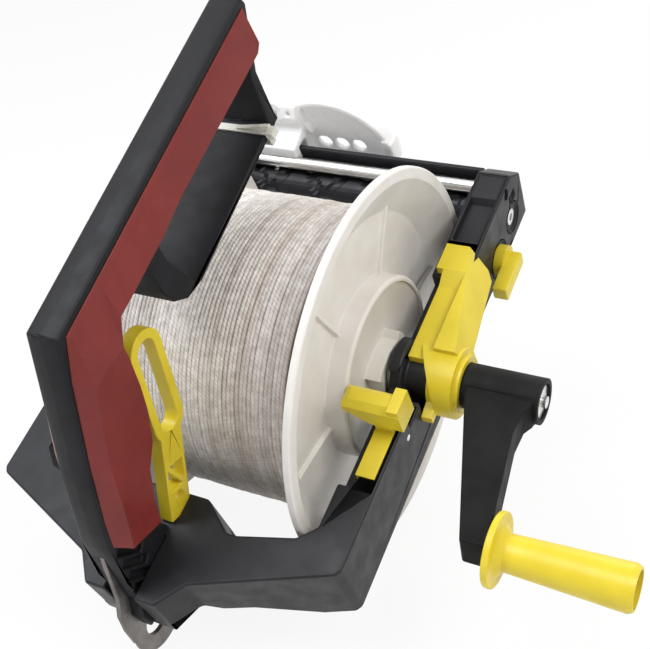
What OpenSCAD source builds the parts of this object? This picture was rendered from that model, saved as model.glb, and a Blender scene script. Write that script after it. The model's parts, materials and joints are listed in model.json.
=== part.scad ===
// Geared fence reel: a carried frame, a drum of twisted cord, a level-winding line guide and its controls.
// Everything is drawn about the drum axle. X runs along the axle towards the crank, Y along the side arms
// towards the line guide and Z towards the carrying handle. stand() then tips the whole reel about the axle
// until its two flange rims and its hanging hook touch the ground together.

/* [Drum] */
// Diameter of the flanges
flange_d = 250; // [244:1:252]
// Width of the drum between the flange webs
drum_w = 142; // [136:1:150]
// Depth of a flange from its web to its front rim
flange_depth = 17.5; // [16:0.5:19]
// Thickness of a flange web
web_t = 3; // [2.5:0.1:3.5]
// Width of the rim band
rim_t = 5; // [4:0.5:6]
// Diameter of the raised hub
hub_d = 116; // [112:1:118]
// Diameter of the opening in the hub cap
hub_open_d = 34; // [33:0.5:36]
// Diameter of the barrel that the cord winds on
barrel_d = 124; // [123:0.5:128]
// Height of a rib on the flange web
rib_h = 2.6; // [2:0.1:3]
// Thickness of a rib
rib_t = 2.4; // [2:0.1:3]
// Diameter over the teeth of the hub cap's ratchet
ratchet_d = 50.5; // [48:0.5:52]
// Length of the ratchet
ratchet_l = 10.5; // [9:0.5:11]
// Diameter of the axle
axle_d = 10; // [9:0.1:11]

/* [Cord] */
// Diameter of the cord
cord_d = 5.2; // [4.6:0.1:5.3]
// Turns in the outer layer
cord_loops = 24; // [20:1:24]
// Diameter over the winding
winding_d = 196; // [180:1:204]

/* [Frame] */
// Gap between a flange rim and the side arm beside it
arm_gap = 8; // [7.6:0.1:10]
// Thickness of a side arm
arm_t = 23; // [22:0.5:26]
// Height of an arm's top face above the axle
arm_top = 18; // [17:0.5:19]
// Depth of an arm's lower edge below the axle
arm_low = 33; // [33:0.5:36]
// Diameter of the round boss on an arm
boss_d = 47; // [45:0.5:50]
// Distance from the axle to the arm's rear corner
rear_l = 141; // [140:1:146]
// Distance from the axle to the tip of the rear member
nose_l = 190; // [186:1:194]
// Distance from the axle to the front end of the arms
front_l = 166; // [165:1:170]
// Moulding wall
wall_t = 3; // [2.6:0.1:3.2]

/* [Handle] */
// Height of the grip's front end above the axle
handle_up = 204; // [202:1:212]
// Width of the grip between the side panels
grip_w = 20; // [19:0.5:22]
// Width of the hand guard
guard_w = 39; // [36:1:42]
// Thickness of a side panel
panel_t = 8.5; // [7:0.1:9.5]
// Thickness of the hanging hook
hook_t = 3; // [2.5:0.1:4]
// Diameter of the eye in the hanging hook
eye_d = 20; // [18:0.5:21]
// Outer diameter of the hook round its eye
hook_d = 45; // [43:0.5:47]

/* [Crank] */
// Distance from the axle to the grip
crank_r = 108; // [104:1:112]
// Diameter of the crank hub
crank_hub_d = 28; // [27:0.5:29]
// Length of the crank hub
crank_hub_l = 47; // [44:0.5:50]
// Thickness of the crank arm
crank_t = 19; // [17:0.5:20]
// Length of the grip with its collar
grip_l = 74; // [70:1:82]
// Diameter of the grip at its outer end
grip_d = 25.6; // [24:0.2:27]
// Diameter of the grip's collar
collar_d = 41; // [38:0.5:43]

/* [Controls] */
// Reach of the selector lever along the arm
selector_l = 84; // [80:0.5:88]
// Outer diameter of the selector hub
selector_d = 44; // [42:0.5:46]
// Length of the selector hub
selector_w = 20; // [19:0.5:22]
// Length of the wing on the brake knob
wing_l = 33; // [30:1:36]
// Diameter of the brake knob's base
knob_d = 21; // [20:0.5:24]
// Length of the drum-lock lever's tail
pawl_l = 38; // [36:0.5:40]

/* [Level wind] */
// Diameter of the steel guide rod
rod_d = 9.5; // [9:0.1:10]
// Distance from the axle to the guide rod
rod_y = 152; // [151:0.5:153]
// Diameter of the grooved screw
screw_d = 22; // [20:0.5:22]
// Lead of the screw's grooves
screw_lead = 46; // [40:1:52]
// Depth of the grooves
groove_t = 2; // [1.5:0.1:2.5]
// Radius of the line guide's arc fin
fin_r = 48.5; // [46:0.5:51]
// Thickness of the arc fin
fin_t = 4; // [3.5:0.1:5]

/* [Hidden] */
$fn = 64;

// Cuts run past the faces they open by this much
over = 1;
// Running clearance on a radius
run_fit = 0.05;
// Clearance between mouldings that seat in each other
seat_fit = 0.1;
// Air between pieces that move past each other
air = 0.5;

// Places along the axle
axis = [0, 0];
axle_head_t = 3;
axle_r = axle_d / 2;
flange_r = flange_d / 2;
web_x = drum_w / 2;
rim_x = web_x + flange_depth;
hub_drop = 1;
hub_x = rim_x - hub_drop;
arm_in = rim_x + arm_gap;
arm_out = arm_in + arm_t;
selector_x = arm_out + air;
crank_x = selector_x + selector_w + air;
crank_end = crank_x + crank_hub_l;
collar_step = 8.5;
collar_x = crank_end + collar_step;
grip_end = collar_x + grip_l;

// Place of the hanging hook's eye, as shares of the handle
spine_out = 3;
handle_back = nose_l + spine_out;
eye_shares = [-0.956, -0.1515];
eye_at = [handle_back * eye_shares[0], handle_up * eye_shares[1]];
ring_off = [2.5, -1.5];
ring_at = eye_at + ring_off;
stand_angle = asin((flange_r - hook_d / 2) / norm(ring_at)) - atan2(ring_at[1], ring_at[0]) - 180;

// Points given as shares of two sizes
function spread(shares, size_a, size_b) = [for (s = shares) [s[0] * size_a, s[1] * size_b]];
// The other side of a half outline, walked backwards
function other_side(points) = [for (i = [len(points) - 1 : -1 : 0]) [-points[i][0], points[i][1]]];
// A point of the arm plane in the standing reel
function stood(p) = [p[0] * cos(stand_angle) - p[1] * sin(stand_angle), p[0] * sin(stand_angle) + p[1] * cos(stand_angle)];
// A point of the handle's side view, from its shares
function on_handle(s) = [s[0] * handle_back, s[1] * handle_up];

// Guide rod, grooved screw and line guide
rod_r = rod_d / 2;
rod_up = 1.5;
rod_at = [rod_y, rod_up];
screw_r = screw_d / 2;
screw_back = 5;
screw_gap = 2;
screw_at = [rod_y - screw_back, rod_up - rod_r - screw_gap - screw_r];
channel_gap = 3;
channel_y = rod_y + rod_r + channel_gap;
channel_t = 3;
channel_up = 10;
channel_low = 30;
channel_flange = 6;
guide_gap = 1;
guide_t = 17;
guide_y = channel_y + channel_t + channel_flange + guide_gap;
guide_low = 12;

// Middle of the standing reel, so that the origin lies under it
spine_shares = [-0.845, 0.495];
row_x = (grip_end - arm_out - axle_head_t) / 2;
crown_h = 1.3;
row_y = (stood(on_handle(spine_shares))[0] - crown_h + stood([guide_y + guide_t, -guide_low])[0]) / 2;

module stand() {
    translate([-row_x, -row_y, flange_r]) rotate([stand_angle, 0, 0]) children();
}
// A profile in the arm plane, run along the axle
module along_x(x0, x1) {
    translate([x0, 0, 0]) rotate([90, 0, 90]) linear_extrude(x1 - x0) children();
}
// A section across the reel, run along the arms
module along_y(y0, y1) {
    translate([0, y1, 0]) rotate([90, 0, 0]) linear_extrude(y1 - y0) children();
}
// A plan seen from the handle, run from one height to another
module plan(z0, z1) {
    translate([0, 0, z0]) linear_extrude(z1 - z0) children();
}
// A round bar parallel to the axle
module bar(at, r, x0, x1) {
    translate([x0, at[0], at[1]]) rotate([0, 90, 0]) cylinder(r = r, h = x1 - x0);
}
// A tube parallel to the axle
module tube(at, r_out, r_in, x0, x1) {
    difference() {
        bar(at, r_out, x0, x1);
        bar(at, r_in, x0 - over, x1 + over);
    }
}
// A block between two corners
module block(low, high) {
    translate(low) cube(high - low);
}
// A shape turned about the axle, its profile given as radius and place along the axle
module turned() {
    rotate([0, 90, 0]) rotate_extrude() children();
}
// A bar with round ends, in the plane
module stadium(r, l) {
    circle(r = r);
    translate([0, l]) circle(r = r);
    translate([-r, 0]) square([2 * r, l]);
}

// Drum
hub_r = hub_d / 2;
hub_open_r = hub_open_d / 2;
hub_wall = 3.5;
hub_in_r = hub_r - hub_wall;
hub_lip = 1.5;
barrel_r = barrel_d / 2;
barrel_t = 3.5;
barrel_in_r = barrel_r - barrel_t;
plug_l = 8;
dish_start_share = 0.77;
dish_end_share = 0.925;
rim_lip = 1;
bead_t = 2;
rib_count = 6;
rib_turn = 46.7;
rib_end_share = 0.84;
left_depth = 3;
cap_sink = 4.5;
cap_x = hub_x - cap_sink;
cap_dish_share = 0.86;
cap_fit = 0.1;
tooth_count = 4;
tooth_turn = 55;
tooth_shares = [[0.02, 0.78], [0.42, 0.8], [0.8, 0.93], [0.97, 1]];
bush_wall = 4;
drum_bush_r = axle_r + run_fit + bush_wall;
drum_bush_l = 10;

module flange_body(face_x) {
    dish_0 = flange_r * dish_start_share;
    dish_1 = flange_r * dish_end_share;
    turned() polygon([
        [hub_in_r, hub_x], [hub_r - hub_lip, hub_x], [hub_r, hub_x - hub_lip],
        [hub_r, web_x + web_t], [dish_0, web_x + web_t], [dish_1, face_x - bead_t], [dish_1 + bead_t, face_x],
        [flange_r - rim_lip, face_x], [flange_r, face_x - rim_lip], [flange_r, face_x - rim_t],
        [dish_1 + bead_t, face_x - rim_t - rim_lip], [dish_0, web_x], [barrel_in_r - seat_fit, web_x],
        [barrel_in_r - seat_fit, web_x - plug_l], [hub_in_r, web_x - plug_l],
    ]);
    for (k = [0 : rib_count - 1]) rotate([rib_turn + k * 360 / rib_count, 0, 0])
        block([web_x + web_t - seat_fit, hub_r - hub_lip, -rib_t / 2], [web_x + web_t + rib_h, flange_r * rib_end_share, rib_t / 2]);
}
module flange_right() {
    color("linen") stand() flange_body(rim_x);
}
// Cap that closes the gear housing: a dished plate with a ratchet on it for the drum lock
module hub_cap() {
    r = ratchet_d / 2;
    out_r = hub_in_r - cap_fit;
    color("linen") stand() {
        turned() polygon([[hub_open_r, cap_x - hub_wall], [hub_open_r, cap_x], [out_r * cap_dish_share, cap_x],
            [out_r, hub_x - hub_lip], [out_r, cap_x - hub_wall]]);
        difference() {
            along_x(cap_x - over, cap_x + ratchet_l) polygon([for (k = [0 : tooth_count - 1]) for (s = tooth_shares)
                let (a = tooth_turn + 360 * (k + s[0]) / tooth_count) r * s[1] * [cos(a), sin(a)]]);
            bar(axis, hub_open_r, cap_x - 2 * over, cap_x + ratchet_l + over);
        }
    }
}
module flange_left() {
    color("linen") stand() mirror([1, 0, 0]) {
        flange_body(web_x + left_depth);
        tube(axis, hub_in_r + over, drum_bush_r, hub_x - hub_wall, hub_x);
        tube(axis, drum_bush_r + hub_wall, drum_bush_r, hub_x - drum_bush_l, hub_x - hub_wall);
    }
}
module drum_barrel() {
    color("linen") stand() tube(axis, barrel_r, barrel_in_r, -web_x, web_x);
}

// Planetary gears between the crank and the drum
sun_n = 24;
planet_n = 12;
planet_count = 3;
ring_n = sun_n + 2 * planet_n;
addendum_share = 0.8;
dedendum_share = 1.15;
tip_share = 0.1;
root_share = 0.24;
ring_gap = 1.2;
ring_wall = 3;
ring_out_r = hub_in_r - ring_gap;
tooth_m = (ring_out_r - ring_wall) / (ring_n / 2 + dedendum_share);
sun_r = tooth_m * sun_n / 2;
planet_r = tooth_m * planet_n / 2;
orbit_r = sun_r + planet_r;
ring_r = tooth_m * ring_n / 2;
gear_gap = 1;
gear_w = 22;
carrier_t = 4;
ring_disc_t = 3;
ring_back = cap_x - hub_wall - 2 * gear_gap - ring_disc_t;
carrier_x = ring_back - gear_gap - carrier_t;
gear_x1 = carrier_x - gear_gap;
gear_x0 = gear_x1 - gear_w;
sleeve_wall = 5;
sleeve_r = axle_r + sleeve_wall;
crank_bush_wall = 2.5;
crank_bush_r = sleeve_r + run_fit + crank_bush_wall;
spigot_wall = 1.5;
spigot_r = crank_bush_r + spigot_wall;
ring_neck_r = hub_open_r - 2 * gear_gap;
planet_pin_r = 3;
carrier_rim = 3;
bulkhead_t = 4;
bulkhead_x = gear_x0 - gear_gap - bulkhead_t;

// One tooth's corners, as radius and share of the pitch either side of its middle
function tooth(n, k, r_foot, r_tip, foot_half, tip_half) = [
    for (s = [[r_foot, -foot_half], [r_tip, -tip_half], [r_tip, tip_half], [r_foot, foot_half]])
        let (a = 360 * (k + s[1]) / n) [s[0] * cos(a), s[0] * sin(a)]
];
module gear(n, phase, x0, x1) {
    r = tooth_m * n / 2;
    along_x(x0, x1) polygon([for (k = [0 : n - 1]) each tooth(n, k + phase,
        r - tooth_m * dedendum_share, r + tooth_m * addendum_share, root_share, tip_share)]);
}
module sun_gear() {
    color("ivory") stand() difference() {
        union() {
            gear(sun_n, 1 / 2, gear_x0, gear_x1);
            bar(axis, sun_r - 2 * tooth_m, bulkhead_x + bulkhead_t, gear_x0 + over);
        }
        bar(axis, drum_bush_r, bulkhead_x, gear_x1 + over);
    }
}
module ring_gear() {
    color("silver") stand() difference() {
        union() {
            bar(axis, ring_out_r, gear_x0, ring_back + ring_disc_t);
            bar(axis, ring_neck_r, ring_back, arm_in);
        }
        along_x(gear_x0 - over, ring_back) polygon([for (k = [0 : ring_n - 1]) each tooth(ring_n, k,
            ring_r - tooth_m * addendum_share, ring_r + tooth_m * dedendum_share, 1 / 2 - tip_share, 1 / 2 - root_share)]);
        bar(axis, sleeve_r + air, ring_back - over, arm_in + over);
    }
}
module planet(k) {
    color("ivory") stand() rotate([360 * k / planet_count, 0, 0]) translate([0, orbit_r, 0]) difference() {
        gear(planet_n, 0, gear_x0, gear_x1);
        bar(axis, planet_pin_r + run_fit, gear_x0 - over, gear_x1 + over);
    }
}
module planet_1() { planet(0); }
module planet_2() { planet(1); }
module planet_3() { planet(2); }
module planet_carrier() {
    color("silver") stand() difference() {
        union() {
            bar(axis, orbit_r + planet_pin_r + carrier_rim, carrier_x, carrier_x + carrier_t);
            bar(axis, sleeve_r, carrier_x, crank_x);
            for (k = [0 : planet_count - 1]) rotate([360 * k / planet_count, 0, 0])
                bar([orbit_r, 0], planet_pin_r, gear_x0, carrier_x + carrier_t);
        }
        bar(axis, axle_r + run_fit, carrier_x - over, crank_x + over);
    }
}
module drum_bulkhead() {
    color("linen") stand() tube(axis, barrel_in_r - seat_fit, drum_bush_r, bulkhead_x, bulkhead_x + bulkhead_t);
}
module drum_bushes() {
    color("goldenrod") stand() {
        tube(axis, drum_bush_r, axle_r + run_fit, bulkhead_x, bulkhead_x + drum_bush_l);
        tube(axis, drum_bush_r, axle_r + run_fit, -hub_x, -hub_x + drum_bush_l);
    }
}
module crank_bush() {
    color("goldenrod") stand() tube(axis, crank_bush_r, sleeve_r + run_fit, arm_in, selector_x + selector_w);
}

// Axle: a long pin with its head on the left arm and a washer under its riveted end
axle_head_r = 9;
washer_t = 1.6;
washer_r = 10.5;
washer_bed = 3;
rivet_r = 3.6;
rivet_l = 3;
module axle() {
    color("silver") stand() {
        bar(axis, axle_r, -arm_out, crank_end - washer_bed + washer_t);
        bar(axis, axle_head_r, -arm_out - axle_head_t, -arm_out);
        bar(axis, rivet_r, crank_end - washer_bed, crank_end + rivet_l - washer_bed + washer_t);
    }
}
module axle_washer() {
    color("gainsboro") stand() tube(axis, washer_r, axle_r, crank_end - washer_bed + air, crank_end - washer_bed + washer_t);
}

// Crank: a hub, a slanting arm that narrows towards the grip, and a free-turning hollow grip
crank_turn = 166.9;
crank_end_l = 7;
crank_inset = 3.5;
crank_tip_w = 15;
crank_tip_out = 7.5;
crank_root_in = 6;
crank_fillet = 12;
crank_knee_l = 36;
crank_knee_in = 6;
grip_pin_r = 4;
grip_root_d = 20.6;
collar_t = 4;
grip_wall = 2.6;
grip_hollow_l = 26;
pin_head_r = 7;
pin_head_t = 3;
module crank_set() {
    stand() rotate([crank_turn, 0, 0]) children();
}
module crank_arm() {
    tip_x = crank_end + crank_tip_out;
    color("dimgray") crank_set() difference() {
        union() {
            bar(axis, crank_hub_d / 2, crank_x, crank_end);
            plan(-crank_t / 2, crank_t / 2) polygon([[crank_x + crank_inset, 0], [crank_x + crank_inset, crank_hub_d / 2],
                [tip_x - crank_tip_w, crank_r + crank_end_l], [tip_x, crank_r + crank_end_l],
                [crank_end - crank_knee_in, crank_knee_l], [crank_end - crank_knee_in, crank_hub_d / 2 + crank_fillet / 2],
                [crank_end - crank_root_in / 2, crank_hub_d / 2], [crank_end - crank_root_in / 2, 0]]);
        }
        bar(axis, axle_r + run_fit, crank_x - over, crank_end + over);
        bar(axis, washer_r + air, crank_end - washer_bed, crank_end + over);
        bar([crank_r, 0], grip_pin_r, crank_x, tip_x + over);
    }
}
module crank_grip() {
    tip_x = crank_end + crank_tip_out;
    hollow_x = grip_end - grip_hollow_l;
    color("gold") crank_set() translate([0, crank_r, 0]) turned() polygon([
        [grip_pin_r + run_fit, tip_x + air], [collar_d / 2, tip_x + air], [collar_d / 2, tip_x + air + collar_t],
        [grip_root_d / 2 + collar_t, tip_x + air + collar_t], [grip_root_d / 2, tip_x + air + 2 * collar_t],
        [grip_d / 2, grip_end - grip_wall], [grip_d / 2 - grip_wall / 2, grip_end],
        [grip_d / 2 - grip_wall, grip_end], [grip_d / 2 - grip_wall, hollow_x], [grip_pin_r + run_fit, hollow_x]]);
}
module grip_pin() {
    hollow_x = grip_end - grip_hollow_l;
    color("silver") crank_set() translate([0, crank_r, 0]) {
        bar(axis, grip_pin_r, crank_end - crank_knee_in, hollow_x + air + pin_head_t);
        bar(axis, pin_head_r, hollow_x + air, hollow_x + air + pin_head_t);
    }
}

// Frame: both arms and the swept rear member as one moulding, hollow underneath
nose_w = 48;
nose_low = 19.5;
neck_x = 37;
neck_in = 17;
arch_x = 25;
arch_h = 21;
arch_mid_h = 13;
arch_end = 102;
corner = 5;
rim_clear = 3;
inner_step = 10;
hollow_x = 52;
hollow_in = 9;
hollow_step = 7;
pad_x = 25;
pad_out = 4;
foot_l = 150;
foot_low = 16;
front_cut_y = 14;
front_cut_z = 12;
frame_half = [
    [nose_w / 2, -nose_l], [neck_x, -nose_l + neck_in], [arm_out - corner / 2, -rear_l - corner / 4],
    [arm_out, -rear_l + corner / 2], [arm_out, front_l], [arm_in, front_l],
    [arm_in, -flange_r - rim_clear + inner_step], [arm_in - inner_step, -flange_r - rim_clear],
    [hollow_x, -flange_r - rim_clear - hollow_in], [hollow_x - hollow_step, -flange_r - rim_clear - hollow_in],
    [pad_x, -flange_r + pad_out],
];

// Drum lock: a T-shaped lever on a pin in a stepped recess of the right arm
pawl_at = [-45, 3.5];
pawl_t = 12;
pawl_in = 8;
pawl_x = arm_in + pawl_in;
pawl_hub_r = 6.5;
pawl_pin_r = 2;
pawl_bed = 11;
pawl_bed_front = 17;
pawl_swing = 5;
pawl_tail_z = 11;
pawl_tail_t = 8;
pawl_head_up = 45;
pawl_head_low = 27;
pawl_nose_low = 37;
pawl_head_back = 9;
pawl_head_front = 6;
pawl_chamfer = 4;
pawl_stick_out = 5.5;
pawl_block_t = 7;
recess_end = 90;
recess_z = 8;
boss_in_r = 20;

// Brake knob, arm-tip screw and moulded recesses of the right arm
knob_at = [112, -22];
knob_bed_r = 13.5;
brake_r = 4;
pocket_y = 93;
pocket_end = 17;
pocket_floor = -4;
tip_at = [143, -14];
tip_head_r = 5.6;
tip_head_t = 4;
tip_screw_r = 2.5;
tip_screw_l = 8;
tip_bed_r = 11;
tip_bed = 1.5;
mark_at = [140, 10];
mark_r = 2.6;
mark_l = 4;
slot_at = [143.5, -1];
slot_size = [9, 5];
// Recess that the selector lever lies in
lever_in = 8.5;
lever_x = arm_in + lever_in;
lever_floor = 2;
lever_end = 61;

// Belt drive in the left arm
pulley_r = 8;
belt_gap = 0.3;
belt_t = 1.5;
belt_w = 8;
belt_in = 3;
bay_in = 13;
bay_rim = 2;
cover_t = 3;
cover_lip = 3;
bay_x = -arm_out + cover_t + bay_in;
bay_r = pulley_r + belt_gap + belt_t + bay_rim;
screw_shaft_r = 4;
screw_bush_r = 6.5;
screw_seat = 8;
rod_seat = 8;
loop_sink = 0.06;
module belt_loop(r) {
    circle(r = r);
    translate(screw_at) circle(r = r);
    rotate(atan2(screw_at[1], screw_at[0])) translate([0, loop_sink - r]) square([norm(screw_at), 2 * (r - loop_sink)]);
}

rib_gap = 8;
module arm_pocket(y0, y1) {
    block([arm_in + wall_t, y0, -arm_low - over], [arm_out - wall_t, y1, pocket_floor - wall_t - pawl_bed / 2]);
}
module frame_block() {
    wing_in = [[neck_x, -nose_l + neck_in + 2 * wall_t], [arm_out - corner - wall_t, -rear_l - corner / 2 + 2 * wall_t],
        [arm_in - inner_step, -flange_r - rim_clear - wall_t], [hollow_x, -flange_r - rim_clear - hollow_in - wall_t],
        [neck_x, -flange_r - rim_clear - hollow_in - wall_t]];
    difference() {
        union() {
            plan(-arm_low, arm_top) polygon(concat(frame_half, other_side(frame_half)));
            bar(axis, boss_d / 2, arm_in, arm_out);
            bar(axis, boss_d / 2, -arm_out, -arm_in);
        }
        // Sloped front corners
        along_x(-arm_out - over, arm_out + over) polygon([[front_l - front_cut_y, arm_top + over],
            [front_l - front_cut_y, arm_top], [front_l, arm_top - front_cut_z], [front_l + over, arm_top - front_cut_z],
            [front_l + over, arm_top + over]]);
        // Notch for the handle's foot, slot for the hanging hook, socket for the hook handle
        block([-grip_w / 2 - seat_fit, -nose_l - over, -foot_low - seat_fit],
            [grip_w / 2 + seat_fit, -foot_l + seat_fit, arm_top + over]);
        block([-hook_t / 2 - seat_fit, -nose_l - over, -arm_low - over],
            [hook_t / 2 + seat_fit, ring_at[0] + hook_d / 2 + seat_fit, arm_top]);
        along_x(handle_x - socket_fit, handle_x + handle_t + socket_fit) handle_socket();
        // Underside of the nose, above the hook's eye
        block([-arch_x - over, -nose_l - over, -arm_low - over], [arch_x + over, -foot_l, -nose_low]);
        // Hollows and arches under the rear member, and hollows under the right arm
        for (side = [0, 1]) mirror([side, 0, 0]) {
            plan(-arm_low - over, arm_top - wall_t) polygon(wing_in);
            along_y(-nose_l - over, -flange_r) polygon([[arch_x, -arm_low - over], [arch_x, -arm_low + arch_h],
                [arch_x + arch_h / 2, -arm_low + arch_h], [arch_x + arch_h, -arm_low + arch_mid_h + over],
                [(arch_x + arch_end) / 2, -arm_low + arch_mid_h], [arch_end, -arm_low - over]]);
        }
        arm_pocket(pawl_at[0] - pawl_l - rib_gap, pawl_at[0] + pawl_bed);
        arm_pocket(boss_d / 2 + rib_gap / 2, knob_at[0] - knob_bed_r - rib_gap);
        // Recesses for the selector lever and the drum lock, and a top pocket
        bar(axis, boss_d / 2 + air, lever_x - air, arm_out + over);
        block([lever_x - air, 0, lever_floor - air], [arm_out + over, lever_end + air, arm_top + over]);
        difference() {
            block([arm_in - over, -recess_end, recess_z], [arm_out - wall_t, lever_end + air, arm_top + over]);
            bar(axis, boss_in_r, arm_in - 2 * over, lever_x - air);
        }
        block([lever_x, pawl_at[0] + pawl_swing, recess_z], [arm_out + over, 0, arm_top + over]);
        block([pawl_x - air, pawl_at[0] - pawl_l - 2 * air, pawl_at[1] - pawl_bed],
            [pawl_x + pawl_t + air, pawl_at[0] + pawl_bed_front, arm_top + over]);
        block([arm_in + wall_t, pocket_y, pocket_floor], [arm_out - wall_t, front_l - pocket_end, arm_top + over]);
    }
}
module frame() {
    color("dimgray") stand() difference() {
        union() {
            frame_block();
            bar(axis, spigot_r, arm_in, selector_x + selector_w);
        }
        bar(axis, crank_bush_r, arm_in - over, selector_x + selector_w + over);
        bar(pawl_at, pawl_pin_r, arm_in - over, arm_out + over);
        bar(knob_at, brake_r + run_fit, arm_in - over, arm_out + over);
        bar(knob_at, knob_bed_r, arm_out - tip_bed, arm_out + over);
        bar(tip_at, tip_screw_r, arm_out - tip_bed - tip_head_t - tip_screw_l, arm_out + over);
        bar(tip_at, tip_head_r + seat_fit, arm_out - tip_head_t - tip_bed, arm_out + over);
        bar(tip_at, tip_bed_r, arm_out - tip_bed, arm_out + over);
        along_x(arm_out - tip_bed, arm_out + over) translate(mark_at) stadium(mark_r, mark_l);
        along_x(arm_out - tip_bed, arm_out + over) translate(slot_at) square(slot_size);
        bar(rod_at, rod_r, arm_in - over, arm_in + rod_seat);
        bar(rod_at, rod_r, -arm_in - rod_seat, -arm_in + over);
        bar(screw_at, screw_bush_r, arm_in - over, arm_in + screw_seat);
        along_x(-arm_out - over, bay_x) belt_loop(bay_r);
        along_x(-arm_out - over, -arm_out + cover_t) belt_loop(bay_r + cover_lip);
        bar(axis, pulley_r + air, bay_x - over, -arm_in + over);
        bar(screw_at, screw_bush_r, bay_x - over, -arm_in + over);
    }
}
module front_channel() {
    flange_y = channel_y + channel_t + channel_flange;
    color("dimgray") stand() along_x(-arm_in, arm_in) polygon([[channel_y, channel_up], [channel_y, -channel_low],
        [flange_y, -channel_low], [flange_y, -channel_low + channel_t], [channel_y + channel_t, -channel_low + channel_t],
        [channel_y + channel_t, channel_up]]);
}
module guide_rod() {
    color("silver") stand() bar(rod_at, rod_r, -arm_in - rod_seat, arm_in + rod_seat);
}
module tip_screws() {
    hex_r = 2.5;
    color("silver") stand() difference() {
        union() {
            bar(tip_at, tip_head_r, arm_out - tip_head_t - tip_bed, arm_out - tip_bed);
            bar(tip_at, tip_screw_r, arm_out - tip_bed - tip_head_t - tip_screw_l, arm_out - tip_bed);
        }
        bar(tip_at, hex_r, arm_out - tip_head_t, arm_out);
    }
}
module screw_bushes() {
    color("goldenrod") stand() {
        tube(screw_at, screw_bush_r, screw_shaft_r + run_fit, arm_in, arm_in + screw_seat);
        tube(screw_at, screw_bush_r, screw_shaft_r + run_fit, bay_x, -arm_in);
    }
}
module drive_belt() {
    belt_x = -arm_out + cover_t + belt_in;
    color("black") stand() along_x(belt_x, belt_x + belt_w) difference() {
        belt_loop(pulley_r + belt_gap + belt_t);
        belt_loop(pulley_r + belt_gap);
    }
}
module belt_cover() {
    color("dimgray") stand() difference() {
        along_x(-arm_out, -arm_out + cover_t) belt_loop(bay_r + cover_lip - seat_fit);
        bar(axis, axle_r, -arm_out - over, -arm_out + cover_t + over);
    }
}
cover_screw_r = 3;
cover_screw_t = 2;
cover_screw_shares = [0.35, 0.7];
module cover_screws() {
    color("silver") stand() for (s = cover_screw_shares)
        bar(screw_at * s, cover_screw_r, -arm_out - cover_screw_t, -arm_out);
}
module drum_pulley() {
    color("ivory") stand() tube(axis, pulley_r, axle_r + air, -arm_out + cover_t + belt_in - seat_fit, -hub_x);
}
module screw_pulley() {
    color("ivory") stand() tube(screw_at, pulley_r, screw_shaft_r, -arm_out + cover_t + belt_in - seat_fit, bay_x - air);
}
module screw_shaft() {
    color("silver") stand() bar(screw_at, screw_shaft_r, -arm_out + cover_t + belt_in - seat_fit, arm_in + screw_seat - air);
}

// Grooved screw: a grid of rings whose radius dips wherever a right- or left-hand groove passes
screw_sides = 24;
screw_rings = 76;
screw_bore_fit = 0.1;
groove_share = 0.09;
screw_half = arm_in - 1.5 * air;
function turn_gap(t) = abs(t - round(t));
function groove(x, a) = min(turn_gap(x / screw_lead - a / 360), turn_gap(x / screw_lead + a / 360)) < groove_share ? groove_t : 0;
function ring_point(x, a, r) = [x, screw_at[0] + r * cos(a), screw_at[1] + r * sin(a)];
module level_screw() {
    n = screw_sides;
    m = screw_rings;
    bore = (screw_shaft_r + screw_bore_fit) / cos(180 / n);
    outer = [for (i = [0 : m]) for (k = [0 : n - 1])
        let (x = -screw_half + 2 * screw_half * i / m, a = 360 * k / n) ring_point(x, a, screw_r - groove(x, a))];
    inner = [for (x = [-screw_half, screw_half]) for (k = [0 : n - 1]) ring_point(x, 360 * k / n, bore)];
    base = len(outer);
    skin = [for (i = [0 : m - 1]) for (k = [0 : n - 1]) let (a = i * n + k, b = i * n + (k + 1) % n)
        each [[a, a + n, b], [b, a + n, b + n]]];
    hole = [for (k = [0 : n - 1]) let (a = base + k, b = base + (k + 1) % n) each [[a, b, a + n], [b, b + n, a + n]]];
    ends = [for (k = [0 : n - 1]) let (j = (k + 1) % n, last = m * n) each [
        [k, j, base + k], [j, base + j, base + k],
        [last + k, base + n + k, last + j], [last + j, base + n + k, base + n + j]]];
    color("dimgray") stand() polyhedron(concat(outer, inner), concat(skin, hole, ends));
}

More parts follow.
